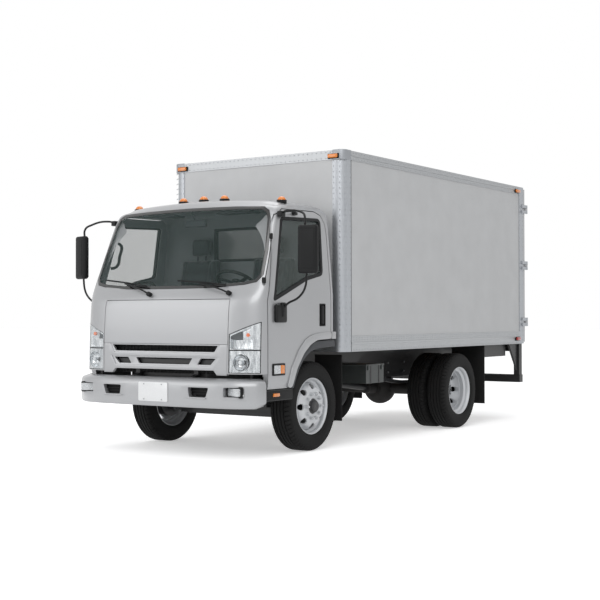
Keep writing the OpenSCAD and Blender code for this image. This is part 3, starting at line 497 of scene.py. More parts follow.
screen_glass = tinted("laminated_windscreen", "#3B4C49", 0.20)
border_ceramic = finish_of("fired_black_border", {"Coat Weight": 0.7}, ("#08090A", "#0D0E0F"), cell_mm=6, rough=(0.2, 0.3))
gap = -0.003
pane = skin(form, "windscreen_pane", 0.006, 0.004)
carve(pane, prism("tool", grown(SCREEN_EDGE, -0.026), "x", 0.45, 1.1), "INTERSECT")
pane.data.materials.clear()
fit(pane, "cab", screen_glass, ("windscreen",))
border = skin(form, "windscreen_border", 0.020, 0.001)
carve(border, prism("tool", grown(SCREEN_EDGE, gap), "x", 0.45, 1.1), "INTERSECT")
carve(border, prism("tool", grown(SCREEN_EDGE, -0.028), "x", 0.40, 1.15))
border.data.materials.clear()
fit(border, "cab", border_ceramic)
rear = block("rear_pane", (-0.206, -0.337, 1.753), (-0.201, 0.337, 2.047), 1, 1)
fit(rear, "cab", side_glass, ("rear_window",))
seal = block("rear_pane_seal", (-0.214, -0.352, 1.738), (-0.170, 0.352, 2.062), 12, 3)
carve(seal, block("tool", (-0.3, -0.328, 1.762), (-0.1, 0.328, 2.038), 12, 3))
fit(seal, "cab", channel_rubber)


def rod(name, points, radius, sides=12, closed=False):
    """A round tube along a smooth line of points."""
    line = bpy.data.curves.new(name, "CURVE")
    line.dimensions = "3D"
    line.bevel_depth = radius
    line.bevel_resolution = sides // 4
    line.use_fill_caps = True
    line.resolution_u = 6
    path = line.splines.new("BEZIER")
    path.bezier_points.add(len(points) - 1)
    for knot, point in zip(path.bezier_points, points):
        knot.co = point
        knot.handle_left_type = knot.handle_right_type = "AUTO"
    path.use_cyclic_u = closed
    piece = bpy.data.objects.new(name, line)
    bpy.context.collection.objects.link(piece)
    take(piece)
    bpy.ops.object.convert(target="MESH")
    return bpy.context.object


def on_screen(y, z, out=0.0):
    """A point on the windscreen's outside."""
    bow = along(HIGH_NOSE, abs(y))
    return Vector((along(FRONT_X, z) - bow + out * 0.93, y, z + out * 0.36))


for name, pivot_y, tip_y, tip_z in (("left", 0.68, 0.10, 1.515), ("right", -0.19, -0.775, 1.535)):
    pivot = on_screen(pivot_y, 1.402, 0.018)
    tip = on_screen(tip_y, tip_z, 0.03)
    middle = pivot.lerp(tip, 0.55)
    arm_end = on_screen(pivot_y + (tip_y - pivot_y) * 0.56, 1.402 + (tip_z - 1.402) * 0.72, 0.038)
    arm = rod("wiper_arm_" + name, [pivot, pivot.lerp(arm_end, 0.25) + Vector((0.014, 0, 0.012)), arm_end], 0.0075)
    blade_a = on_screen(pivot_y + (tip_y - pivot_y) * 0.10, 1.472, 0.022)
    blade = rod("blade", [blade_a, blade_a.lerp(tip, 0.5) + Vector((0.006, 0, 0.004)), tip], 0.0075)
    boss = rod("boss", [pivot - Vector((0.03, 0, 0.01)), pivot + Vector((0.018, 0, 0.006))], 0.021)
    fit(joined("wiper_" + name, arm, blade, boss), "cab", grained_abs)

# Aerial on the left pillar, held by its two clips
aerial = rod("aerial", [(0.842, 0.978, 1.50), (0.770, 0.972, 1.70), (0.700, 0.955, 1.90)], 0.0035)
mounts = [block("a", (0.835, 0.962, 1.49), (0.862, 0.992, 1.54), 5, 2), block("b", (0.705, 0.945, 1.87), (0.728, 0.970, 1.92), 5, 2)]
fit(joined("pillar_aerial", aerial, *mounts), "cab", grained_abs)

# ---- Headlamps ----------------------------------------------------------------------------
# A clear moulded lens over an aluminised reflector: the indicator with its amber bulb on top,
# a strip in the middle and the round main reflector below.

lens_clear = tinted("clear_polycarbonate", "#C9CDCF", 0.10)
# Vacuum-coated aluminium on moulded plastic: a bright mirror broken by flutes.
reflector_foil = finish_of("aluminised_reflector", {"Metallic": 1.0}, ("#A9ADB0", "#DDE0E2"), cell_mm=26, rough=(0.10, 0.25), bump=4.0, stretch=(1, 1, 0.25))
bulb_amber = finish_of("amber_bulb_glass", {"Coat Weight": 1.0}, ("#D9500A", "#F07A18"), cell_mm=8, rough=(0.1, 0.2))
for side, sign in SIDES.items():
    def out(outline):
        return [(sign * y, z) for y, z in outline]
    lens = skin(form, "headlamp_lens_" + side, 0.004, 0.001)
    carve(lens, prism("tool", rounded(out(grown(LAMP_EDGE, -0.004)), 0.008, 3), "x", 0.86, 1.1), "INTERSECT")
    lens.data.materials.clear()
    fit(lens, "cab", lens_clear, ("headlamps",))
    # The bowl behind the lens: one moulding with two wells
    bowl = skin(form, "headlamp_bowl_" + side, 0.055, 0.006)
    carve(bowl, prism("tool", out(grown(LAMP_EDGE, -0.005)), "x", 0.86, 1.1), "INTERSECT")
    bowl.data.materials.clear()
    upper = [(0.726, 0.938), (0.958, 0.938), (0.958, 1.135), (0.726, 1.046)]
    low_well = rod("tool", [(0.93, sign * 0.826, 0.824), (1.03, sign * 0.832, 0.824)], 0.074, 48)
    for tool in (prism("tool", out(upper), "x", 0.93, 1.1, 8, 2), low_well):
        carve(bowl, tool)
    fit(bowl, "cab", reflector_foil)
    # Round main reflector with its bulb shield, spun from its profile
    deselect()
    bpy.ops.mesh.primitive_uv_sphere_add(segments=40, ring_count=20, radius=0.078, location=(1.0, sign * 0.828, 0.824))
    dish = bpy.context.object
    dish.name = "main_reflector_" + side
    bpy.ops.object.mode_set(mode="EDIT")
    bpy.ops.mesh.select_all(action="SELECT")
    bpy.ops.mesh.bisect(plane_co=(0.975, 0, 0), plane_no=(1, 0, 0), clear_outer=True)
    bpy.ops.object.mode_set(mode="OBJECT")
    modify(dish, "SOLIDIFY", thickness=0.003, offset=0)
    shield = rod("shield", [(0.945, sign * 0.828, 0.824), (0.985, sign * 0.828, 0.824)], 0.019)
    fit(joined("main_reflector_" + side, dish, shield), "cab", reflector_foil)
    bulb = rod("indicator_bulb_" + side, [(0.905, sign * 0.872, 1.055), (0.935, sign * 0.872, 1.055)], 0.017)
    fit(bulb, "cab", bulb_amber)
    # Dark seal round the lamp, and the bar that divides it
    rim = skin(form, "headlamp_seal_" + side, 0.03, 0.0025)
    carve(rim, prism("tool", out(grown(LAMP_EDGE, -0.0005)), "x", 0.86, 1.1), "INTERSECT")
    carve(rim, prism("tool", out(grown(LAMP_EDGE, -0.0055)), "x", 0.80, 1.15))
    bar = skin(form, "bar", 0.03, 0.0005)
    carve(bar, prism("tool", out([(0.716, 0.922), (0.973, 0.922), (0.973, 0.932), (0.716, 0.932)]), "x", 0.86, 1.1), "INTERSECT")
    rim = joined("headlamp_seal_" + side, rim, bar)
    rim.data.materials.clear()
    fit(rim, "cab", grained_abs)

# ---- Grille ---------------------------------------------------------------------------------
# One silver-painted ABS moulding with a wide upper slot, a middle row of three and a deep lower
# opening. Black mesh and the radiator stand behind the slots.

grille = skin(form, "grille_moulding", 0.030)
carve(grille, block("tool", (0.80, -0.697, 0.712), (1.1, 0.697, 0.972)), "INTERSECT")
SLOTS = [[(-0.598, 0.962), (0.598, 0.962), (0.560, 0.908), (-0.560, 0.908)],
         [(-0.575, 0.852), (-0.412, 0.852), (-0.375, 0.798), (-0.520, 0.798)],
         [(-0.320, 0.852), (0.320, 0.852), (0.282, 0.798), (-0.282, 0.798)],
         [(0.412, 0.852), (0.575, 0.852), (0.520, 0.798), (0.375, 0.798)],
         [(-0.560, 0.752), (0.560, 0.752), (0.600, 0.705), (-0.600, 0.705)]]
for slot_edge in SLOTS:
    carve(grille, prism("tool", rounded(slot_edge, 0.006, 2), "x", 0.85, 1.1))
# Step the bars: the slots lie in shallow troughs, so each bar catches the light on its lower edge
for low, high, half in ((0.895, 0.974, 0.625), (0.785, 0.866, 0.605)):
    trough = prism("tool", [(-half, high), (half, high), (half - 0.05, low), (-half + 0.05, low)], "x", 0.992, 1.1, 3, 2)
    carve(grille, trough)
grille.data.materials.clear()
modify(grille, "BEVEL", width=0.0025, segments=2, limit_method="ANGLE", angle_limit=math.radians(35))
fit(grille, "cab", silver_enamel, ("grille",))
bars = []
for z in [0.73 + 0.012 * i for i in range(20)]:
    bars.append(block("bar", (0.935, -0.66, z), (0.948, 0.66, z + 0.004)))
for y in [-0.64 + 0.04 * i for i in range(33)]:
    bars.append(block("bar", (0.925, y - 0.003, 0.72), (0.935, y + 0.003, 0.968)))
bars.append(block("bar", (0.905, -0.67, 0.715), (0.922, 0.67, 0.970)))
fit(joined("grille_mesh", *bars), "cab", grained_abs)

# ---- Bumper ---------------------------------------------------------------------------------
# A pressed steel bumper in the cab's enamel, wrapped round the corners, with a sloping top,
# two vents with bright lower lips, two lamps and a blank plate on four screws.

NOSE = [(0.0, 1.130), (0.3, 1.127), (0.6, 1.116), (0.70, 1.104), (0.80, 1.085), (0.88, 1.055), (0.93, 1.020),
        (0.985, 0.985), (1.015, 0.955), (1.035, 0.900)]
SECTION = [(-0.045, 0.440), (-0.006, 0.440), (0.0, 0.452), (0.004, 0.50), (0.004, 0.625), (-0.004, 0.655), (-0.018, 0.668),
           (-0.085, 0.690), (-0.085, 0.680), (-0.045, 0.664)]


def bumper_ring(y, x, square):
    """One section of the bumper, square to its own line."""
    return [Vector((x + d * square.x, y + d * square.y, z)) for d, z in SECTION]


stations = [(-y, x) for y, x in reversed(NOSE[1:])] + NOSE
deselect()
bpy.ops.mesh.primitive_circle_add(vertices=len(SECTION), fill_type="NGON")
bumper = bpy.context.object
bumper.name = "bumper_pressing"
for i, (y, x) in enumerate(stations):
    before, after = stations[max(0, i - 1)], stations[min(len(stations) - 1, i + 1)]
    run = Vector((after[1] - before[1], after[0] - before[0])).normalized()
    ring = bumper_ring(y, x, Vector((run.y, -run.x)))
    if i:
        bpy.ops.object.mode_set(mode="EDIT")
        bpy.ops.mesh.extrude_region_move(TRANSFORM_OT_translate={"value": (0, 0, 0)})
        bpy.ops.object.mode_set(mode="OBJECT")
    else:
        bpy.ops.object.mode_set(mode="EDIT")
        bpy.ops.mesh.select_all(action="SELECT")
        bpy.ops.object.mode_set(mode="OBJECT")
    moving = [v for v in bumper.data.vertices if v.select]
    for vertex, point in zip(moving, ring):
        vertex.co = point
bpy.ops.object.mode_set(mode="EDIT")
bpy.ops.mesh.select_all(action="SELECT")
bpy.ops.mesh.normals_make_consistent(inside=False)
bpy.ops.object.mode_set(mode="OBJECT")
for sign in (1, -1):
    vent = [(sign * 0.378, 0.612), (sign * 0.595, 0.612), (sign * 0.565, 0.530), (sign * 0.392, 0.530)]
    carve(bumper, prism("tool", rounded(vent, 0.015, 3), "x", 1.0, 1.2, 0))
    fog = [(sign * 0.735, 0.618), (sign * 0.905, 0.618), (sign * 0.905, 0.538), (sign * 0.735, 0.538)]
    carve(bumper, prism("tool", rounded(fog, 0.015, 3), "x", 0.95, 1.2, 0))
# Lower corners turned up under the ends
carve(bumper, prism("tool", [(0.94, 0.42), (1.1, 0.42), (1.1, 0.53), (1.0, 0.46)], "x", 0.8, 1.1))
carve(bumper, prism("tool", [(-0.94, 0.42), (-1.1, 0.42), (-1.1, 0.53), (-1.0, 0.46)], "x", 0.8, 1.1))
modify(bumper, "BEVEL", width=0.004, segments=2, limit_method="ANGLE", angle_limit=math.radians(40))
fit(bumper, "chassis", silver_enamel, ("front_bumper",), smooth=50)
for side, sign in SIDES.items():
    vent_box = [(sign * 0.372, 0.618), (sign * 0.601, 0.618), (sign * 0.571, 0.524), (sign * 0.386, 0.524)]
    back = prism("vent_back", vent_box, "x", 1.052, 1.068)
    slats = [block("slat", (1.068, min(sign * 0.385, sign * 0.585), z), (1.088, max(sign * 0.385, sign * 0.585), z + 0.006)) for z in (0.552, 0.576, 0.600)]
    fit(joined("bumper_vent_" + side, back, *slats), "chassis", grained_abs)
    lip_edge = [(sign * 0.345, 0.520), (sign * 0.385, 0.531), (sign * 0.570, 0.531), (sign * 0.575, 0.520)]
    lip = prism("vent_lip_" + side, lip_edge, "x", 1.06, 1.138, 4, 3)
    fit(lip, "chassis", silver_enamel)
    lamp = prism("fog_lamp_" + side, rounded([(sign * 0.742, 0.611), (sign * 0.898, 0.611), (sign * 0.898, 0.545), (sign * 0.742, 0.545)], 0.014, 3), "x", 1.035, 1.062, 4, 3)
    lamp.data.transform(Matrix.Translation((1.06, sign * 0.82, 0)) @ Matrix.Rotation(-sign * math.radians(20), 4, "Z") @ Matrix.Translation((-1.05, -sign * 0.82, 0)))
    fit(lamp, "chassis", clear_acrylic)
    case = prism("fog_case_" + side, rounded([(sign * 0.728, 0.625), (sign * 0.912, 0.625), (sign * 0.912, 0.531), (sign * 0.728, 0.531)], 0.014, 3), "x", 1.0, 1.02)
    case.data.transform(Matrix.Translation((1.045, sign * 0.82, 0)) @ Matrix.Rotation(-sign * math.radians(20), 4, "Z") @ Matrix.Translation((-1.02, -sign * 0.82, 0)))
    fit(case, "chassis", grained_abs)
# White enamelled blank plate
plate_white = finish_of("white_enamelled_plate", {"Coat Weight": 0.4}, ("#CFD0D1", "#D8D9DA"), cell_mm=8, rough=(0.3, 0.4))
plate = prism("blank_plate", rounded([(-0.165, 0.480), (0.165, 0.480), (0.165, 0.645), (-0.165, 0.645)], 0.012, 3), "x", 1.134, 1.138, 1, 2)
fit(plate, "chassis", plate_white)
screw_steel = finish_of("bright_screw_steel", {"Metallic": 1.0}, ("#8E9092", "#B4B6B8"), cell_mm=2, rough=(0.3, 0.45), bump=0.02)
screws = [rod("screw", [(1.136, y, z), (1.143, y, z)], 0.006) for y in (-0.10, 0.10) for z in (0.497, 0.628)]
fit(joined("plate_screws", *screws), "chassis", screw_steel)

# ---- Roof lamps -----------------------------------------------------------------------------
# Five amber clearance lamps: a domed lens on a black moulded foot.

ROOF_LAMPS = [(0.372, 0.828), (0.427, 0.239), (0.427, 0.0), (0.427, -0.239), (0.372, -0.828)]
feet, domes = [], []
for x, y in ROOF_LAMPS:
    z = CAB_TOP - along([(0, 0.0), (0.24, 0.005), (0.75, 0.031), (0.85, 0.046)], abs(y)) - 0.002
    feet.append(rod("foot", [(x, y, z - 0.01), (x, y, z + 0.018)], 0.046, 24))
    deselect()
    bpy.ops.mesh.primitive_uv_sphere_add(segments=24, ring_count=12, radius=0.040, location=(x, y, z + 0.012))
    dome = bpy.context.object
    bpy.ops.object.mode_set(mode="EDIT")
    bpy.ops.mesh.select_all(action="SELECT")
    bpy.ops.mesh.bisect(plane_co=(0, 0, z + 0.012), plane_no=(0, 0, 1), clear_inner=True, use_fill=True)
    bpy.ops.object.mode_set(mode="OBJECT")
    domes.append(dome)
fit(joined("roof_lamp_feet", *feet), "cab", grained_abs)
fit(joined("roof_lamp_domes", *domes), "cab", amber_acrylic, ("roof_lamps",))

# ---- Mirrors --------------------------------------------------------------------------------
# Tall moulded heads on bent steel tube: two arms from the door frame's top corner, one from a
# moulded bracket below the window. The glass faces back.

# Silvered glass.
mirror_glass = finish_of("silvered_mirror_glass", {"Metallic": 1.0}, ("#D8DADC", "#E2E4E6"), cell_mm=40, rough=(0.02, 0.05))
# Steel tube in black powder coat, slightly orange-peeled.
powder_coat = finish_of("black_powder_coat", {"Specular IOR Level": 0.25}, ("#0B0C0D", "#121314"), cell_mm=2, rough=(0.4, 0.55), bump=0.05)
for side, sign in SIDES.items():
    def at(x, y, z):
        return Vector((x, sign * y, z))
    head = block("mirror_head_" + side, (-0.032, -0.088, -0.205), (0.032, 0.088, 0.205), 24, 5)
    for vertex in head.data.vertices:
        if vertex.co.x > 0:
            vertex.co.y *= 1 - 0.08 * vertex.co.x / 0.032
    ridge = block("ridge", (0.026, -0.06, -0.165), (0.036, 0.06, 0.165), 5, 2)
    head = joined("mirror_head_" + side, head, ridge)
    glass = block("mirror_glass_" + side, (-0.034, -0.074, -0.185), (-0.030, 0.074, 0.185), 1, 1)
    turn = Matrix.Translation(at(0.665, 1.300, 1.776)) @ Matrix.Rotation(math.radians(18 * sign), 4, "Z")
    head.data.transform(turn)
    glass.data.transform(turn)
    fit(head, side + "_door", grained_abs, ("mirror_" + side,))
    fit(glass, side + "_door", mirror_glass)
    arms = [rod("arm", [at(0.560, 0.955, 2.098), at(0.592, 1.03, 2.115), at(0.620, 1.215, 2.088), at(0.656, 1.262, 2.05), at(0.662, 1.268, 1.955)], 0.0095),
            rod("arm", [at(0.652, 1.032, 1.235), at(0.652, 1.06, 1.30), at(0.652, 1.20, 1.375), at(0.655, 1.262, 1.45), at(0.660, 1.285, 1.60)], 0.0095),
            rod("arm", [at(0.34, 0.955, 2.118), at(0.40, 0.985, 2.125), at(0.56, 0.99, 2.112), at(0.60, 1.04, 2.112)], 0.007)]
    pads = [block("pad", (0.535, min(sign * 0.935, sign * 0.985), 2.070), (0.600, max(sign * 0.935, sign * 0.985), 2.118), 8, 3),
            block("pad", (0.315, min(sign * 0.932, sign * 0.962), 2.098), (0.375, max(sign * 0.932, sign * 0.962), 2.126), 6, 2),
            block("pad", (0.596, min(sign * 1.008, sign * 1.046), 1.158), (0.752, max(sign * 1.008, sign * 1.046), 1.312), 16, 4),
            block("pad", (0.625, min(sign * 1.02, sign * 1.056), 1.205), (0.68, max(sign * 1.02, sign * 1.056), 1.33), 12, 3)]
    fit(joined("mirror_arms_" + side, *arms, *pads), side + "_door", powder_coat)

# ---- Seats ----------------------------------------------------------------------------------
# Two foam seats in dark woven cloth on steel risers. Each pad is blown up under its cover, then
# drawn in along a sewn channel, and the headrest stands on two posts.


def woven(name, dark, light, thread_mm):
    """Cloth of crossed threads, coarse enough to show, with a little sheen."""
    cloth = bpy.data.materials.new(name)
    cloth.use_nodes = True
    tree = cloth.node_tree
    surface = tree.nodes["Principled BSDF"]
    surface.inputs["Roughness"].default_value = 0.9
    surface.inputs["Sheen Weight"].default_value = 0.35
    place = add_node(tree, "ShaderNodeTexCoord")
    waves = []
    for axis in ("X", "Y"):
        waves.append(add_node(tree, "ShaderNodeTexWave", {"Scale": 314 / thread_mm / 10, "Distortion": 0.4, "bands_direction": axis},
                              {"Vector": (place, "Object")}))
    weave = add_node(tree, "ShaderNodeMath", {"operation": "MULTIPLY"}, {0: (waves[0], "Fac"), 1: (waves[1], "Fac")})
    ramp = add_node(tree, "ShaderNodeValToRGB", {}, {"Fac": (weave, 0)})
    ramp.color_ramp.elements[0].color, ramp.color_ramp.elements[1].color = linear(dark), linear(light)
    relief = add_node(tree, "ShaderNodeBump", {"Distance": 0.0006}, {"Height": (weave, 0)})
    tree.links.new(ramp.outputs["Color"], surface.inputs["Base Color"])
    tree.links.new(relief.outputs["Normal"], surface.inputs["Normal"])
    return cloth


seat_cloth = woven("woven_seat_cloth", "#24282B", "#3D4347", 3.0)


def padded(name, outline, low, high, cap_mm=14):
    """A pad from its side outline, swollen as cloth under pressure, never past the cap."""
    pad = prism(name, outline, "y", low, high, 24, 3)
    modify(pad, "REMESH", mode="VOXEL", voxel_size=0.012)
    start = [v.co.copy() for v in pad.data.vertices]
    take(pad)
    cloth = pad.modifiers.new("cover", "CLOTH")
    cloth.settings.use_pressure = True
    cloth.settings.uniform_pressure_force = 4
    cloth.settings.effector_weights.gravity = 0
    for step in range(1, 13):
        bpy.context.scene.frame_set(step)
    bpy.ops.object.modifier_apply(modifier=cloth.name)
    bpy.context.scene.frame_set(1)
    for vertex, before in zip(pad.data.vertices, start):
        moved = vertex.co - before
        if moved.length > cap_mm / 1000:
            vertex.co = before + moved.normalized() * cap_mm / 1000
    return pad


def channel(pad, at, axis, depth=0.006, width=0.014):
    """Draws the cover in along a sewn line."""
    for vertex in pad.data.vertices:
        off = abs(vertex.co[axis] - at)
        if off < width:
            vertex.co -= vertex.normal * depth * (1 - off / width) ** 0.5
    return pad


CUSHION = [(0.0, 1.165), (0.365, 1.180), (0.398, 1.225), (0.37, 1.290), (0.10, 1.262), (0.01, 1.262)]
BACKREST = [(-0.085, 1.225), (0.045, 1.272), (0.040, 1.40), (-0.042, 1.765), (-0.128, 1.760), (-0.105, 1.40)]
HEADREST = [(-0.118, 1.792), (-0.052, 1.795), (-0.045, 1.90), (-0.060, 1.958), (-0.108, 1.960), (-0.122, 1.90)]
pads = {"cushion": padded("seat_cushion", CUSHION, -0.222, 0.222), "backrest": padded("seat_backrest", BACKREST, -0.222, 0.222),
        "headrest": padded("seat_headrest", HEADREST, -0.105, 0.105, 8)}
for name in ("cushion", "backrest"):
    for at_y in (-0.135, 0.135):
        channel(pads[name], at_y, 1)
modify(pads["headrest"], "SUBSURF", levels=1, render_levels=1)
for side, y in (("driver", 0.43), ("passenger", -0.43)):
    for name, pad in pads.items():
        copy = twin(pad, "%s_%s" % (side, name))
        copy.data.transform(Matrix.Translation((0, y, 0)))
        fit(copy, "cab", seat_cloth, (side + "_seat",) if name == "cushion" else (), smooth=50)
    posts = [rod("post", [(-0.085, y + s * 0.05, 1.70), (-0.085, y + s * 0.05, 1.82)], 0.006) for s in (1, -1)]
    base = [block("riser", (0.01, y - 0.20, 1.1005), (0.33, y + 0.20, 1.166), 6, 2)]
    belt = rod("buckle", [(-0.02, y + (0.27 if y < 0 else -0.27), 1.13), (0.02, y + (0.27 if y < 0 else -0.27), 1.32)], 0.012)
    fit(joined(side + "_seat_frame", *posts, *base, belt), "cab", grained_abs)
for pad in pads.values():
    bpy.data.objects.remove(pad, do_unlink=True)

# ---- Dashboard and controls -----------------------------------------------------------------
# Moulded dash with a binnacle over the dials, a radio panel and a grab bar, and the steering
# wheel, whose rim is foam over steel.

dash = prism("dash_moulding", rounded([(0.936, 1.0), (0.925, 1.30), (0.86, 1.385), (0.72, 1.395), (0.645, 1.345), (0.665, 1.20), (0.76, 1.10), (0.80, 1.0)], 0.03, 3), "y", -0.94, 0.94, 8, 2)
binnacle = prism("binnacle", rounded([(0.80, 1.37), (0.79, 1.445), (0.71, 1.455), (0.655, 1.40), (0.66, 1.33)], 0.02, 3), "y", 0.25, 0.63, 12, 3)
dash = carve(dash, binnacle, "UNION")
carve(dash, block("tool", (0.55, -0.16, 1.225), (0.668, 0.16, 1.335), 6, 2))
for y0, y1 in ((-0.80, -0.66), (-0.20, -0.19), (0.66, 0.80)):
    carve(dash, block("tool", (0.60, y0, 1.29), (0.672, y1, 1.335), 3, 1))
inner = skin(form, "tool", 0.3, 0.044)
carve(dash, inner, "DIFFERENCE") if False else bpy.data.objects.remove(inner, do_unlink=True)
for sign in (1, -1):
    carve(dash, prism("tool", [(0.80, sign * 0.97), (0.96, sign * 0.97), (0.96, sign * 0.78), (0.90, sign * 0.86), (0.86, sign * 0.92)], "z", 0.9, 1.5))
fit(dash, "cab", cab_lining, ("dashboard",))
grab = rod("dash_grab_bar", [(0.66, -0.80, 1.35), (0.60, -0.76, 1.49), (0.58, -0.60, 1.53), (0.60, -0.44, 1.49), (0.66, -0.40, 1.35)], 0.014)
handle = rod("pillar_grab_handle", [(0.70, -0.895, 1.66), (0.655, -0.86, 1.68), (0.625, -0.85, 1.78), (0.60, -0.85, 1.87), (0.60, -0.885, 1.90)], 0.014)
fit(joined("grab_handles", grab, handle), "cab", grained_abs)
view_mirror = block("inside_mirror", (0.53, -0.12, 2.02), (0.556, 0.12, 2.085), 10, 3)
stem = rod("stem", [(0.545, 0.0, 2.08), (0.60, 0.0, 2.15)], 0.008)
visors = [block("visor", (0.40, y - 0.19, 2.125), (0.56, y + 0.19, 2.143), 6, 2) for y in (0.43, -0.43)]
fit(joined("roof_fittings", view_mirror, stem, *visors), "cab", cab_lining)
column = Vector((0.5, 0.44, 1.5))
lean = Matrix.Translation(column) @ Matrix.Rotation(math.radians(-35), 4, "Y")
deselect()
bpy.ops.mesh.primitive_torus_add(major_radius=0.19, minor_radius=0.0145, major_segments=64, minor_segments=16)
wheel = [bpy.context.object, rod("pad", [(0, 0, -0.012), (0, 0, 0.014)], 0.062, 32), rod("shaft", [(0, 0, -0.15), (0, 0, -0.01)], 0.0138, 16)]
for angle in (90, 210, 330):
    spoke = block("spoke", (-0.016, 0.045, -0.007), (0.016, 0.186, 0.006), 4, 2)
    spoke.data.transform(Matrix.Rotation(math.radians(angle), 4, "Z"))
    wheel.append(spoke)
wheel = joined("steering_wheel_moulded", *wheel)
take(wheel)
wheel.data.transform(lean)
fit(wheel, "steering", grained_abs, ("steering_wheel",), smooth=45)
shroud = rod("column_shroud", [(0, 0, -0.33), (0, 0, -0.052)], 0.038, 24)
carve(shroud, rod("tool", [(0, 0, -0.17), (0, 0, 0.0)], 0.016, 24))
shroud.data.transform(lean)
fit(shroud, "cab", cab_lining)

# ---- Wheels ---------------------------------------------------------------------------------
# Pressed steel discs in silver paint, turned from one profile and pierced by eight hand holes,
# with ten nuts. The tyres' tread is cut out of a turned casing.

# Silver wheel paint: fine flake, duller than the cab's enamel.
wheel_paint = finish_of("silver_wheel_paint", {"Metallic": 0.35}, ("#BEC0C3", "#CCCED0"), cell_mm=2, rough=(0.4, 0.52), bump=0.01)
# Carbon-black rubber, dry and slightly brown, with the mould's fine texture.
tyre_rubber = finish_of("tyre_rubber", {"Specular IOR Level": 0.25}, ("#0D0D0D", "#161616"), cell_mm=5, rough=(0.72, 0.88), bump=0.1)
# Cast and forged steel under black paint.
painted_casting = finish_of("black_painted_casting", {"Coat Weight": 0.2}, ("#1C1D1F", "#262729"), cell_mm=3, rough=(0.45, 0.6), bump=0.15)


def turned(name, profile, steps=96, closed=True):
    """Spins a profile of (radius, distance outwards) round the y axis."""
    deselect()
    bpy.ops.mesh.primitive_circle_add(vertices=len(profile), fill_type="NOTHING")
    piece = bpy.context.object
    piece.name = name
    for vertex, (radius, out) in zip(piece.data.vertices, profile):
        vertex.co = (radius, out, 0)
    bpy.ops.object.mode_set(mode="EDIT")
    bpy.ops.mesh.select_all(action="SELECT")
    bpy.ops.mesh.spin(steps=steps, angle=math.tau, center=(0, 0, 0), axis=(0, 1, 0))
    bpy.ops.mesh.select_all(action="SELECT")
    bpy.ops.mesh.remove_doubles(threshold=1e-5)
    bpy.ops.mesh.normals_make_consistent(inside=False)
    bpy.ops.object.mode_set(mode="OBJECT")
    return piece


def ringed(name, piece, count):
    """Copies of a piece stepped evenly round the y axis, joined."""
    group = [piece]
    for i in range(1, count):
        copy = twin(piece, name)
        copy.data.transform(Matrix.Rotation(math.tau * i / count, 4, "Y"))
        group.append(copy)
    return joined(name, *group)


BARREL = [(.254, -.092), (.254, -.085), (.244, -.080), (.243, -.045), (.222, -.030), (.222, .030), (.243, .045), (.244, .080),
          (.254, .085), (.254, .092), (.249, .094), (.245, .090), (.236, .078), (.235, .050), (.214, .034), (.214, -.034),
          (.235, -.050), (.236, -.078), (.245, -.090), (.249, -.094)]
DISC = [(.216, .008), (.216, .022), (.208, .040), (.196, .068), (.184, .088), (.168, .098), (.150, .100), (.070, .100),
        (.070, .088), (.145, .088), (.166, .086), (.176, .077), (.186, .058), (.198, .030), (.203, .008)]
DEEP_DISC = [(r, y - 0.2225 if y > 0.05 else 0.008 - y) for r, y in DISC]


def disc_wheel(name, deep):
    """Barrel and pierced disc; the twin wheels' disc is the same pressing turned round."""
    disc = turned("disc", [(r, -y if deep else y) for r, y in DISC])
    hole = rod("tool", [(0.176, -0.2, 0), (0.176, 0.2, 0)], 0.0245, 24)
    for vertex in hole.data.vertices:
        vertex.co.z *= 1.22
    carve(disc, ringed("tool", hole, 8))
    rim = joined(name, turned("barrel", BARREL), disc)
    return rim


def wheel_nuts(name, face, out):
    """Ten flanged nuts with their stud ends, on a washer each."""
    rods = []
    flange = rod("nut", [(0.1125, face - 0.002, 0), (0.1125, face + out * 0.007, 0)], 0.0175, 20)
    body = rod("nut", [(0.1125, face, 0), (0.1125, face + out * 0.022, 0)], 0.0150, 4)
    deselect()
    bpy.ops.mesh.primitive_cylinder_add(vertices=6, radius=0.0155, depth=0.026, location=(0.1125, face + out * 0.014, 0),
                                        rotation=(math.pi / 2, 0, 0))
    hexagon = bpy.context.object
    bpy.ops.object.transform_apply(location=True, rotation=True, scale=True)
    modify(hexagon, "BEVEL", width=0.002, segments=2)
    bpy.data.objects.remove(body, do_unlink=True)
    stud = rod("stud", [(0.1125, face, 0), (0.1125, face + out * 0.036, 0)], 0.009, 16)
    return ringed(name, joined("nut", flange, hexagon, stud), 10)


HALF_TYRE = [(.2433, .070), (.2545, .081), (.256, .092), (.262, .098), (.275, .101), (.300, .105), (.330, .106), (.352, .1045),
             (.372, .101), (.386, .096), (.395, .088), (.400, .080), (.4025, .070)]
TREAD = [(.4025, .058), (.3925, .055), (.3925, .049), (.4028, .046), (.4030, .023), (.3925, .021), (.3925, .015), (.4030, .013)]
LINER = [(.372, -.060), (.380, -.030), (.380, .030), (.372, .060), (.330, .090), (.285, .088)]


def tyre(name):
    """A radial casing: ribbed tread, shoulder slots and two fine moulding lines on the wall."""
    wall = HALF_TYRE[:5] + [(.2860, .1032), (.2875, .1045), (.2890, .1036)] + HALF_TYRE[5:8] + [(.3600, .1031), (.3615, .1044), (.3630, .1024)] + HALF_TYRE[8:]
    outer = wall + TREAD
    profile = outer + [(r, -y) for r, y in reversed(outer)] + [(r, y) for r, y in LINER]
    casing = turned(name, profile, steps=120)
    slot = block("tool", (0.372, 0.062, -0.0028), (0.42, 0.12, 0.0028))
    slot.data.transform(Matrix.Rotation(math.radians(12), 4, "X"))
    slots = ringed("tool", slot, 60)
    other = twin(slots, "tool")
    other.data.transform(Matrix.Scale(-1, 4, (0, 1, 0)) @ Matrix.Rotation(math.radians(3), 4, "Y"))
    other.data.flip_normals()
    carve(casing, joined("tool", slots, other))
    return casing


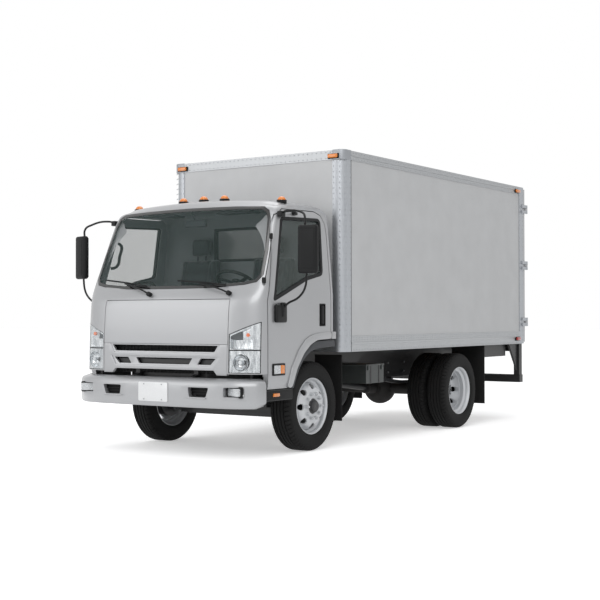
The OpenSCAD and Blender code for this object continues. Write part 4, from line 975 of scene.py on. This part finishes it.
def mounted(piece, name, x, y, sign, body, material, slot, stands_for=()):
    """A copy of a wheel part at a wheel's centre; the right side's are mirrored."""
    copy = twin(piece, name) if sign > 0 else flipped(piece, name)
    copy.data.transform(Matrix.Translation((x, y * sign, 0.403)))
    return fit(copy, body, material, stands_for, smooth=35)


front_wheel, deep_wheel, casing = disc_wheel("front_wheel", False), disc_wheel("deep_wheel", True), tyre("casing")
front_nuts, rear_nuts = wheel_nuts("front_nuts", 0.100, 1), wheel_nuts("rear_nuts", -0.100, 1)
front_hub = turned("front_hub", rounded([(0.001, 0.136), (0.044, 0.136), (0.054, 0.124), (0.056, 0.104), (0.067, 0.100), (0.067, 0.086), (0.001, 0.086)], 0.004, 2), 48)
rear_hub = turned("rear_hub", rounded([(0.001, -0.040), (0.058, -0.040), (0.072, -0.050), (0.074, -0.088), (0.082, -0.094), (0.082, -0.110), (0.001, -0.110)], 0.004, 2), 48)
flange_bolts = ringed("flange_bolts", rod("bolt", [(0.062, -0.055, 0), (0.062, -0.036, 0)], 0.0065, 12), 8)
rear_hub = joined("rear_hub", rear_hub, flange_bolts)
REAR_X = -2.765
for side, sign in SIDES.items():
    body = "front_%s_wheel" % side
    fit_at = {"x": 0.0, "y": 0.81, "sign": sign, "body": body}
    mounted(front_wheel, "front_disc_wheel_" + side, **fit_at, material=wheel_paint, slot="wheel_silver", stands_for=("front_rim_" + side,))
    mounted(front_nuts, "front_nuts_" + side, **fit_at, material=wheel_paint, slot="wheel_silver")
    mounted(front_hub, "front_hub_cap_" + side, **fit_at, material=painted_casting, slot="cast_iron")
    mounted(casing, "front_radial_" + side, **fit_at, material=tyre_rubber, slot="tyre_black", stands_for=("front_tyre_" + side,))
    body = "rear_%s_wheels" % side
    outer_at = {"x": REAR_X, "y": 0.905, "sign": sign, "body": body}
    inner_at = {"x": REAR_X, "y": 0.66, "sign": sign, "body": body}
    mounted(deep_wheel, "rear_outer_wheel_" + side, **outer_at, material=wheel_paint, slot="wheel_silver", stands_for=("rear_rims_" + side,))
    mounted(front_wheel, "rear_inner_wheel_" + side, **inner_at, material=wheel_paint, slot="wheel_silver")
    mounted(rear_nuts, "rear_nuts_" + side, **outer_at, material=wheel_paint, slot="wheel_silver")
    mounted(rear_hub, "rear_hub_" + side, **outer_at, material=painted_casting, slot="cast_iron")
    mounted(casing, "rear_outer_radial_" + side, **outer_at, material=tyre_rubber, slot="tyre_black", stands_for=("rear_tyres_" + side,))
    mounted(casing, "rear_inner_radial_" + side, **inner_at, material=tyre_rubber, slot="tyre_black")
for piece in (front_wheel, deep_wheel, casing, front_nuts, rear_nuts, front_hub, rear_hub):
    bpy.data.objects.remove(piece, do_unlink=True)

# ---- Load body ------------------------------------------------------------------------------
# Smooth sheet walls between riveted aluminium rails and rounded corner posts. The walls and
# rails keep their built shape; rivets, ribs, caps and sheet seams are added over them.

# Pre-painted sheet: flat light grey, satin, with the faint waviness of a thin skin.
panel_paint = finish_of("satin_panel_paint", {"Specular IOR Level": 0.5}, ("#B2B3B4", "#B9BABB"), cell_mm=260, rough=(0.34, 0.44), bump=0.25)
# Mill-finish aluminium: fine lengthwise drawing lines and a dull oxide.
mill_aluminium = finish_of("mill_finish_aluminium", {"Metallic": 0.85}, ("#9A9C9E", "#B2B4B6"), cell_mm=1.2, rough=(0.34, 0.5), bump=0.01, stretch=(0.02, 1, 1))
post_aluminium = finish_of("drawn_post_aluminium", {"Metallic": 0.85}, ("#9B9EA2", "#B2B5B9"), cell_mm=1.2, rough=(0.34, 0.5), bump=0.01, stretch=(1, 1, 0.02))
# Oiled laminated hardwood boards, the grain running along the truck.
deck_wood = finish_of("oiled_hardwood_deck", {"Specular IOR Level": 0.35}, ("#5B4024", "#7E5C36"), cell_mm=9, rough=(0.5, 0.7), bump=0.2, stretch=(0.03, 1, 1))
# Red acrylic over a reflector, and bright zinc on the door gear.
red_acrylic = finish_of("red_acrylic", {"Coat Weight": 0.8, "IOR": 1.49}, ("#8E0E0A", "#A8160F"), cell_mm=4, kind="cells", rough=(0.15, 0.3), bump=0.3)
zinc_plate = finish_of("zinc_plated_steel", {"Metallic": 0.9}, ("#8F9295", "#A7AAAD"), cell_mm=6, rough=(0.38, 0.52), bump=0.02)


def dressed(finish, slot_nodes, bevel_mm=0.0):
    """Gives CAD nodes their finish and, where asked, a small edge radius."""
    for name in slot_nodes:
        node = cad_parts[name]
        for slot in node.material_slots:
            slot.material = finish
        if not node.material_slots:
            node.data.materials.append(finish)
        if bevel_mm:
            weld = node.modifiers.new("weld", "WELD")
            weld.merge_threshold = 0.0001
            edge = node.modifiers.new("edge", "BEVEL")
            edge.width = bevel_mm / 1000
            edge.segments = 2
            edge.limit_method = "ANGLE"
            edge.angle_limit = math.radians(40)


dressed(panel_paint, ("side_walls", "front_wall", "load_roof", "rear_door_left", "rear_door_right"))
dressed(mill_aluminium, ("body_rails",))
dressed(post_aluminium, ("corner_posts", "rear_frame"))
dressed(deck_wood, ("load_floor",))

BOX_FRONT, BOX_REAR, BOX_LOW, BOX_HIGH, BOX_HALF = -0.37, -4.464, 0.88, 2.756, 1.012
POST = 0.126


def rivet_row(name, start, step, count, out, second=None):
    """Snap-head rivets along a line, on the outside of a rail or a post."""
    deselect()
    bpy.ops.mesh.primitive_uv_sphere_add(segments=10, ring_count=6, radius=0.0055)
    head = bpy.context.object
    head.name = name
    flat = Matrix.Diagonal([0.45 if abs(a) > 0.5 else 1.0 for a in out] + [1.0])
    head.data.transform(Matrix.Translation(start) @ flat)
    for stride, number in ((step, count), second or (None, 0)):
        if number:
            modify(head, "ARRAY", count=number, use_relative_offset=False, use_constant_offset=True, constant_offset_displace=stride)
    return head


rivets, ribs = [], []
length = BOX_FRONT - POST - (BOX_REAR + 0.12)
along_side = int(length / 0.0508)
for sign in (1, -1):
    y, out = sign * (BOX_HALF + 0.0005), (0, sign, 0)
    first = BOX_REAR + 0.12 + (length - (along_side - 1) * 0.0508) / 2
    for z in (0.900, 0.990, 1.012, 2.684, 2.738):
        rivets.append(rivet_row("rivet", (first, y, z), (0.0508, 0, 0), along_side, out))
    for x in (BOX_FRONT - 0.040, BOX_FRONT - POST + 0.012):
        rivets.append(rivet_row("rivet", (x, y, 0.93), (0, 0, 0.0508), 35, out))
    for x in (BOX_REAR + 0.015, BOX_REAR + 0.105):
        rivets.append(rivet_row("rivet", (x, y, 0.93), (0, 0, 0.0508), 35, out))
    for y_front in (BOX_HALF - 0.045, BOX_HALF - POST + 0.012):
        rivets.append(rivet_row("rivet", (BOX_FRONT + 0.0005, sign * y_front, 0.93), (0, 0, 0.0508), 35, (1, 0, 0)))
    # The bottom rail's rub rib and drip edge, and the top rail's gutter
    ribs.append(block("rib", (BOX_REAR + 0.125, min(y, y + sign * 0.006), 0.950), (BOX_FRONT - POST - 0.004, max(y, y + sign * 0.006), 0.970), 2.5, 2))
    ribs.append(block("rib", (BOX_REAR + 0.125, min(y, y + sign * 0.004), 0.880), (BOX_FRONT - POST - 0.004, max(y, y + sign * 0.004), 0.890), 1.5, 1))
    ribs.append(block("rib", (BOX_REAR + 0.125, min(y, y + sign * 0.005), 2.706), (BOX_FRONT - POST - 0.004, max(y, y + sign * 0.005), 2.716), 2, 2))
for z in (2.684, 2.738, 0.900, 1.012):
    rivets.append(rivet_row("rivet", (BOX_FRONT + 0.0005, -0.864, z), (0, 0.0508, 0), 35, (1, 0, 0)))
for sign in (1, -1):
    rivets.append(rivet_row("rivet", (BOX_REAR + 0.14, sign * 0.985, BOX_HIGH + 0.0003), (0.0508, 0, 0), along_side - 1, (0, 0, 1)))
fit(joined("rail_rivets", *rivets), "chassis", zinc_plate, smooth=0)
fit(joined("rail_ribs", *ribs), "chassis", mill_aluminium)

# Rounded front posts: dark sealant joint beside the riveted strip, and cast caps over the corners
joints, caps = [], []
for sign in (1, -1):
    joints.append(block("joint", (BOX_FRONT - POST - 0.006, min(sign * (BOX_HALF - 0.006), sign * (BOX_HALF + 0.0008)), 0.885),
                        (BOX_FRONT - POST + 0.0005, max(sign * (BOX_HALF - 0.006), sign * (BOX_HALF + 0.0008)), 2.67), 0.8, 1))
    outline = [(BOX_FRONT + 0.003, sign * (BOX_HALF - 0.13)), (BOX_FRONT + 0.003, sign * (BOX_HALF + 0.003)), (BOX_FRONT - 0.132, sign * (BOX_HALF + 0.003)), (BOX_FRONT - 0.132, sign * (BOX_HALF - 0.13))]
    corner = [Vector(p) for p in outline]
    bend = [corner[0]] + [corner[1] + (corner[0] - corner[1]).normalized() * 0.058 * (1 - math.sin(math.radians(a))) + (corner[2] - corner[1]).normalized() * 0.058 * (1 - math.cos(math.radians(a)))
                          for a in range(0, 91, 10)] + corner[2:]
    for low, high in ((2.664, 2.761),):
        caps.append(prism("cap", bend, "z", low, high, 8, 3))
fit(joined("post_joints", *joints), "chassis", channel_rubber)
cast_aluminium = finish_of("cast_corner_aluminium", {"Metallic": 0.8}, ("#8D9094", "#A2A5A9"), cell_mm=2.5, rough=(0.42, 0.58), bump=0.08)
fit(joined("corner_castings", *caps), "chassis", cast_aluminium)

# Sheet seams of the roof, under their cover strips
strips = [block("strip", (x - 0.02, -0.95, 2.751), (x + 0.02, 0.95, 2.7555), 1, 1) for x in (-1.42, -2.44, -3.46)]
fit(joined("seam_strips", *strips), "chassis", mill_aluminium)

# Amber and red lenses on black feet
feet, amber, red = [], [], []
for x, y, z, out, group in [(BOX_FRONT, 0.90, 2.700, "x", amber), (BOX_FRONT, -0.90, 2.700, "x", amber), (-4.278, 1, 2.700, "y", amber), (-4.278, -1, 2.700, "y", amber),
                            (-4.279, 1, 0.941, "y", red), (-4.279, -1, 0.941, "y", red)]:
    if out == "x":
        feet.append(block("foot", (x, y - 0.062, z - 0.024), (x + 0.010, y + 0.062, z + 0.024), 4, 2))
        group.append(block("lens", (x + 0.006, y - 0.052, z - 0.018), (x + 0.030, y + 0.052, z + 0.018), 9, 4))
    else:
        a, b, c, d = (y * (BOX_HALF + k) for k in (0.0, 0.010, 0.006, 0.028))
        feet.append(block("foot", (x - 0.062, min(a, b), z - 0.024), (x + 0.062, max(a, b), z + 0.024), 4, 2))
        group.append(block("lens", (x - 0.052, min(c, d), z - 0.018), (x + 0.052, max(c, d), z + 0.018), 9, 4))
for y in (-0.92, 0.92):
    feet.append(block("foot", (BOX_REAR - 0.007, y - 0.062, 2.676), (BOX_REAR, y + 0.062, 2.724), 4, 2))
    red.append(block("lens", (BOX_REAR - 0.022, y - 0.052, 2.682), (BOX_REAR - 0.004, y + 0.052, 2.718), 8, 3))
for y in (-0.10, 0.0, 0.10):
    red.append(block("lens", (BOX_REAR - 0.016, y - 0.04, 2.690), (BOX_REAR, y + 0.04, 2.715), 6, 3))
fit(joined("marker_lamp_feet", *feet), "chassis", grained_abs, ("marker_lamps",))
fit(joined("amber_marker_lenses", *amber), "chassis", amber_acrylic)
fit(joined("red_marker_lenses", *red), "chassis", red_acrylic)
feet, red, clear = [], [], []
for sign in (1, -1):
    a, b = sorted((sign * (BOX_HALF - 0.33), sign * (BOX_HALF - 0.11)))
    feet.append(block("tail", (BOX_REAR + 0.002, a, 0.785), (BOX_REAR + 0.028, b, 0.880), 8, 3))
    for share, group in ((0.18, red), (0.5, clear), (0.82, red)):
        y = a + (b - a) * share
        lens = rod("lens", [(BOX_REAR + 0.008, y, 0.832), (BOX_REAR - 0.006, y, 0.832)], 0.032, 24)
        group.append(lens)
fit(joined("tail_lamp_housings", *feet), "chassis", grained_abs, ("tail_lamps",))
fit(joined("tail_lamp_red", *red), "chassis", red_acrylic)
fit(joined("tail_lamp_clear", *clear), "chassis", clear_acrylic)

# Door gear on the rear: bar brackets, cams and handles in zinc plate
DOOR_FACE = BOX_REAR - 0.046
for side, sign in SIDES.items():
    gear = []
    for y in (0.20, 0.72):
        for z in (1.02, 1.55, 2.05, 2.60):
            gear.append(block("bracket", (DOOR_FACE - 0.028, sign * y - 0.045, z - 0.02), (DOOR_FACE + 0.001, sign * y + 0.045, z + 0.02), 4, 2))
    gear.append(rod("lever", [(DOOR_FACE - 0.02, sign * 0.20, 1.30), (DOOR_FACE - 0.032, sign * 0.24, 1.30), (DOOR_FACE - 0.032, sign * 0.50, 1.27)], 0.009))
    gear.append(block("catch", (DOOR_FACE - 0.03, min(sign * 0.44, sign * 0.52), 1.24), (DOOR_FACE + 0.001, max(sign * 0.44, sign * 0.52), 1.31), 4, 2))
    fit(joined("rear_door_gear_" + side, *gear), side + "_rear_door", zinc_plate)

# ---- Chassis --------------------------------------------------------------------------------
# Frame, axles, springs, power unit and hung parts keep their built shape, each in the finish
# of its own stuff, with bolts, clips and caps where the bare solid is too plain.

chassis_paint = finish_of("chassis_black_paint", {"Coat Weight": 0.15}, ("#0C0D0E", "#161718"), cell_mm=14, rough=(0.4, 0.6), bump=0.05)
rough_casting = finish_of("rough_cast_iron", {"Metallic": 0.5}, ("#3A3A3B", "#4A4846"), cell_mm=3, rough=(0.6, 0.8), bump=0.25)
exhaust_steel = finish_of("aluminised_exhaust_steel", {"Metallic": 0.8}, ("#4E4A46", "#736E68"), cell_mm=18, rough=(0.45, 0.65), bump=0.05)
spring_steel = finish_of("painted_spring_steel", {"Metallic": 0.2}, ("#202123", "#2E2F31"), cell_mm=5, rough=(0.5, 0.7), bump=0.05, stretch=(0.1, 1, 1))
moulded_rubber = finish_of("moulded_flap_rubber", {"Specular IOR Level": 0.25}, ("#141414", "#1C1C1C"), cell_mm=6, kind="cells", rough=(0.65, 0.8), bump=0.15)
grey_green = finish_of("grey_green_enamel", {"Coat Weight": 0.2}, ("#262B2A", "#323736"), cell_mm=8, rough=(0.45, 0.6), bump=0.03)
dressed(chassis_paint, ("frame", "subframe", "underride_guard", "fuel_tank", "cab_floor"))
dressed(rough_casting, ("engine", "rear_axle"))
dressed(painted_casting, ("front_axle", "knuckle_left", "knuckle_right", "drive_shaft", "tie_rod"))
dressed(exhaust_steel, ("exhaust",))
dressed(spring_steel, ("leaf_springs",))
dressed(moulded_rubber, ("mudflaps",))
dressed(grey_green, ("battery_box",))

hung = []
for x in (-1.25, -1.09):
    hung.append(block("strap", (x - 0.014, 0.56, 0.553), (x + 0.014, 0.874, 0.742), 2, 1))
lid = block("lid", (-1.346, 0.45, 0.726), (-0.994, 0.876, 0.744), 5, 2)
latches = [block("latch", (x - 0.015, 0.866, 0.685), (x + 0.015, 0.880, 0.735), 3, 2) for x in (-1.30, -1.04)]
fit(joined("battery_box_lid", lid, *latches), "chassis", grey_green)
fit(joined("battery_box_straps", *hung), "chassis", chassis_paint)
nuts = []
for x in (0.6, 0.1, -0.75, -1.35, -2.2, -2.55, -3.35, -4.0):
    for sign in (1, -1):
        for z in (0.61, 0.71):
            nuts.append(rod("bolt", [(x, sign * 0.423, z), (x, sign * 0.437, z)], 0.011, 8))
fit(joined("frame_bolts", *nuts), "chassis", zinc_plate)

# ---- Floor, light and camera ----------------------------------------------------------------
# A plain pale studio: white floor, three soft panels and an even sky.

bpy.data.objects.remove(form, do_unlink=True)
studio_white = finish_of("studio_floor_paint", {"Specular IOR Level": 0.1}, ("#F8F8F8", "#FCFCFC"), cell_mm=400, rough=(0.85, 0.95))


def seen_rays(tree):
    """1 on the rays that show the backdrop: seen straight, in gloss or through glass."""
    path = add_node(tree, "ShaderNodeLightPath")
    straight = add_node(tree, "ShaderNodeMath", {"operation": "MAXIMUM"}, {0: (path, "Is Camera Ray"), 1: (path, "Is Glossy Ray")})
    return add_node(tree, "ShaderNodeMath", {"operation": "MAXIMUM"}, {0: (straight, 0), 1: (path, "Is Transmission Ray")})


tree = studio_white.node_tree
glow = add_node(tree, "ShaderNodeMapRange", {"To Min": 0.0, "To Max": 0.42}, {"Value": (seen_rays(tree), 0)})
tree.nodes["Principled BSDF"].inputs["Emission Color"].default_value = (1, 1, 1, 1)
tree.links.new(glow.outputs[0], tree.nodes["Principled BSDF"].inputs["Emission Strength"])
deselect()
bpy.ops.mesh.primitive_plane_add(size=160, location=(0, 0, -0.0005))
floor = bpy.context.object
floor.name = "studio_floor"
floor.data.materials.append(studio_white)

world = bpy.data.worlds.new("studio_sky") if not bpy.context.scene.world else bpy.context.scene.world
bpy.context.scene.world = world
world.use_nodes = True
tree = world.node_tree
tree.nodes.clear()
seen = add_node(tree, "ShaderNodeBackground", {"Color": (1, 1, 1, 1), "Strength": 1.0})
sky = add_node(tree, "ShaderNodeBackground", {"Color": (0.985, 0.99, 1.0, 1), "Strength": 0.66})
mixed = add_node(tree, "ShaderNodeMixShader", {}, {0: (seen_rays(tree), 0), 1: (sky, 0), 2: (seen, 0)})
add_node(tree, "ShaderNodeOutputWorld", {}, {"Surface": (mixed, 0)})

for name, place, size, watts in (("key", (9.5, 4.0, 7.0), 6.0, 350), ("top", (0.0, 0.0, 9.0), 7.0, 250), ("fill", (9.0, -5.0, 4.0), 5.0, 140)):
    deselect()
    bpy.ops.object.light_add(type="AREA", location=place)
    lamp = bpy.context.object
    lamp.name = name + "_panel"
    lamp.data.size = size
    lamp.data.energy = watts
    lamp.rotation_euler = (Vector((0, 0, 1.1)) - Vector(place)).to_track_quat("-Z", "Y").to_euler()

bpy.ops.object.camera_add(location=(10.7883, 6.8745, 1.2117), rotation=(math.radians(90) + 0.0135, 0.0017, math.radians(123.92)))
camera = bpy.context.object
camera.data.sensor_width = 36
camera.data.lens = 72.3
camera.data.clip_end = 200
bpy.context.scene.camera = camera
bpy.context.scene.view_settings.view_transform = "Standard"
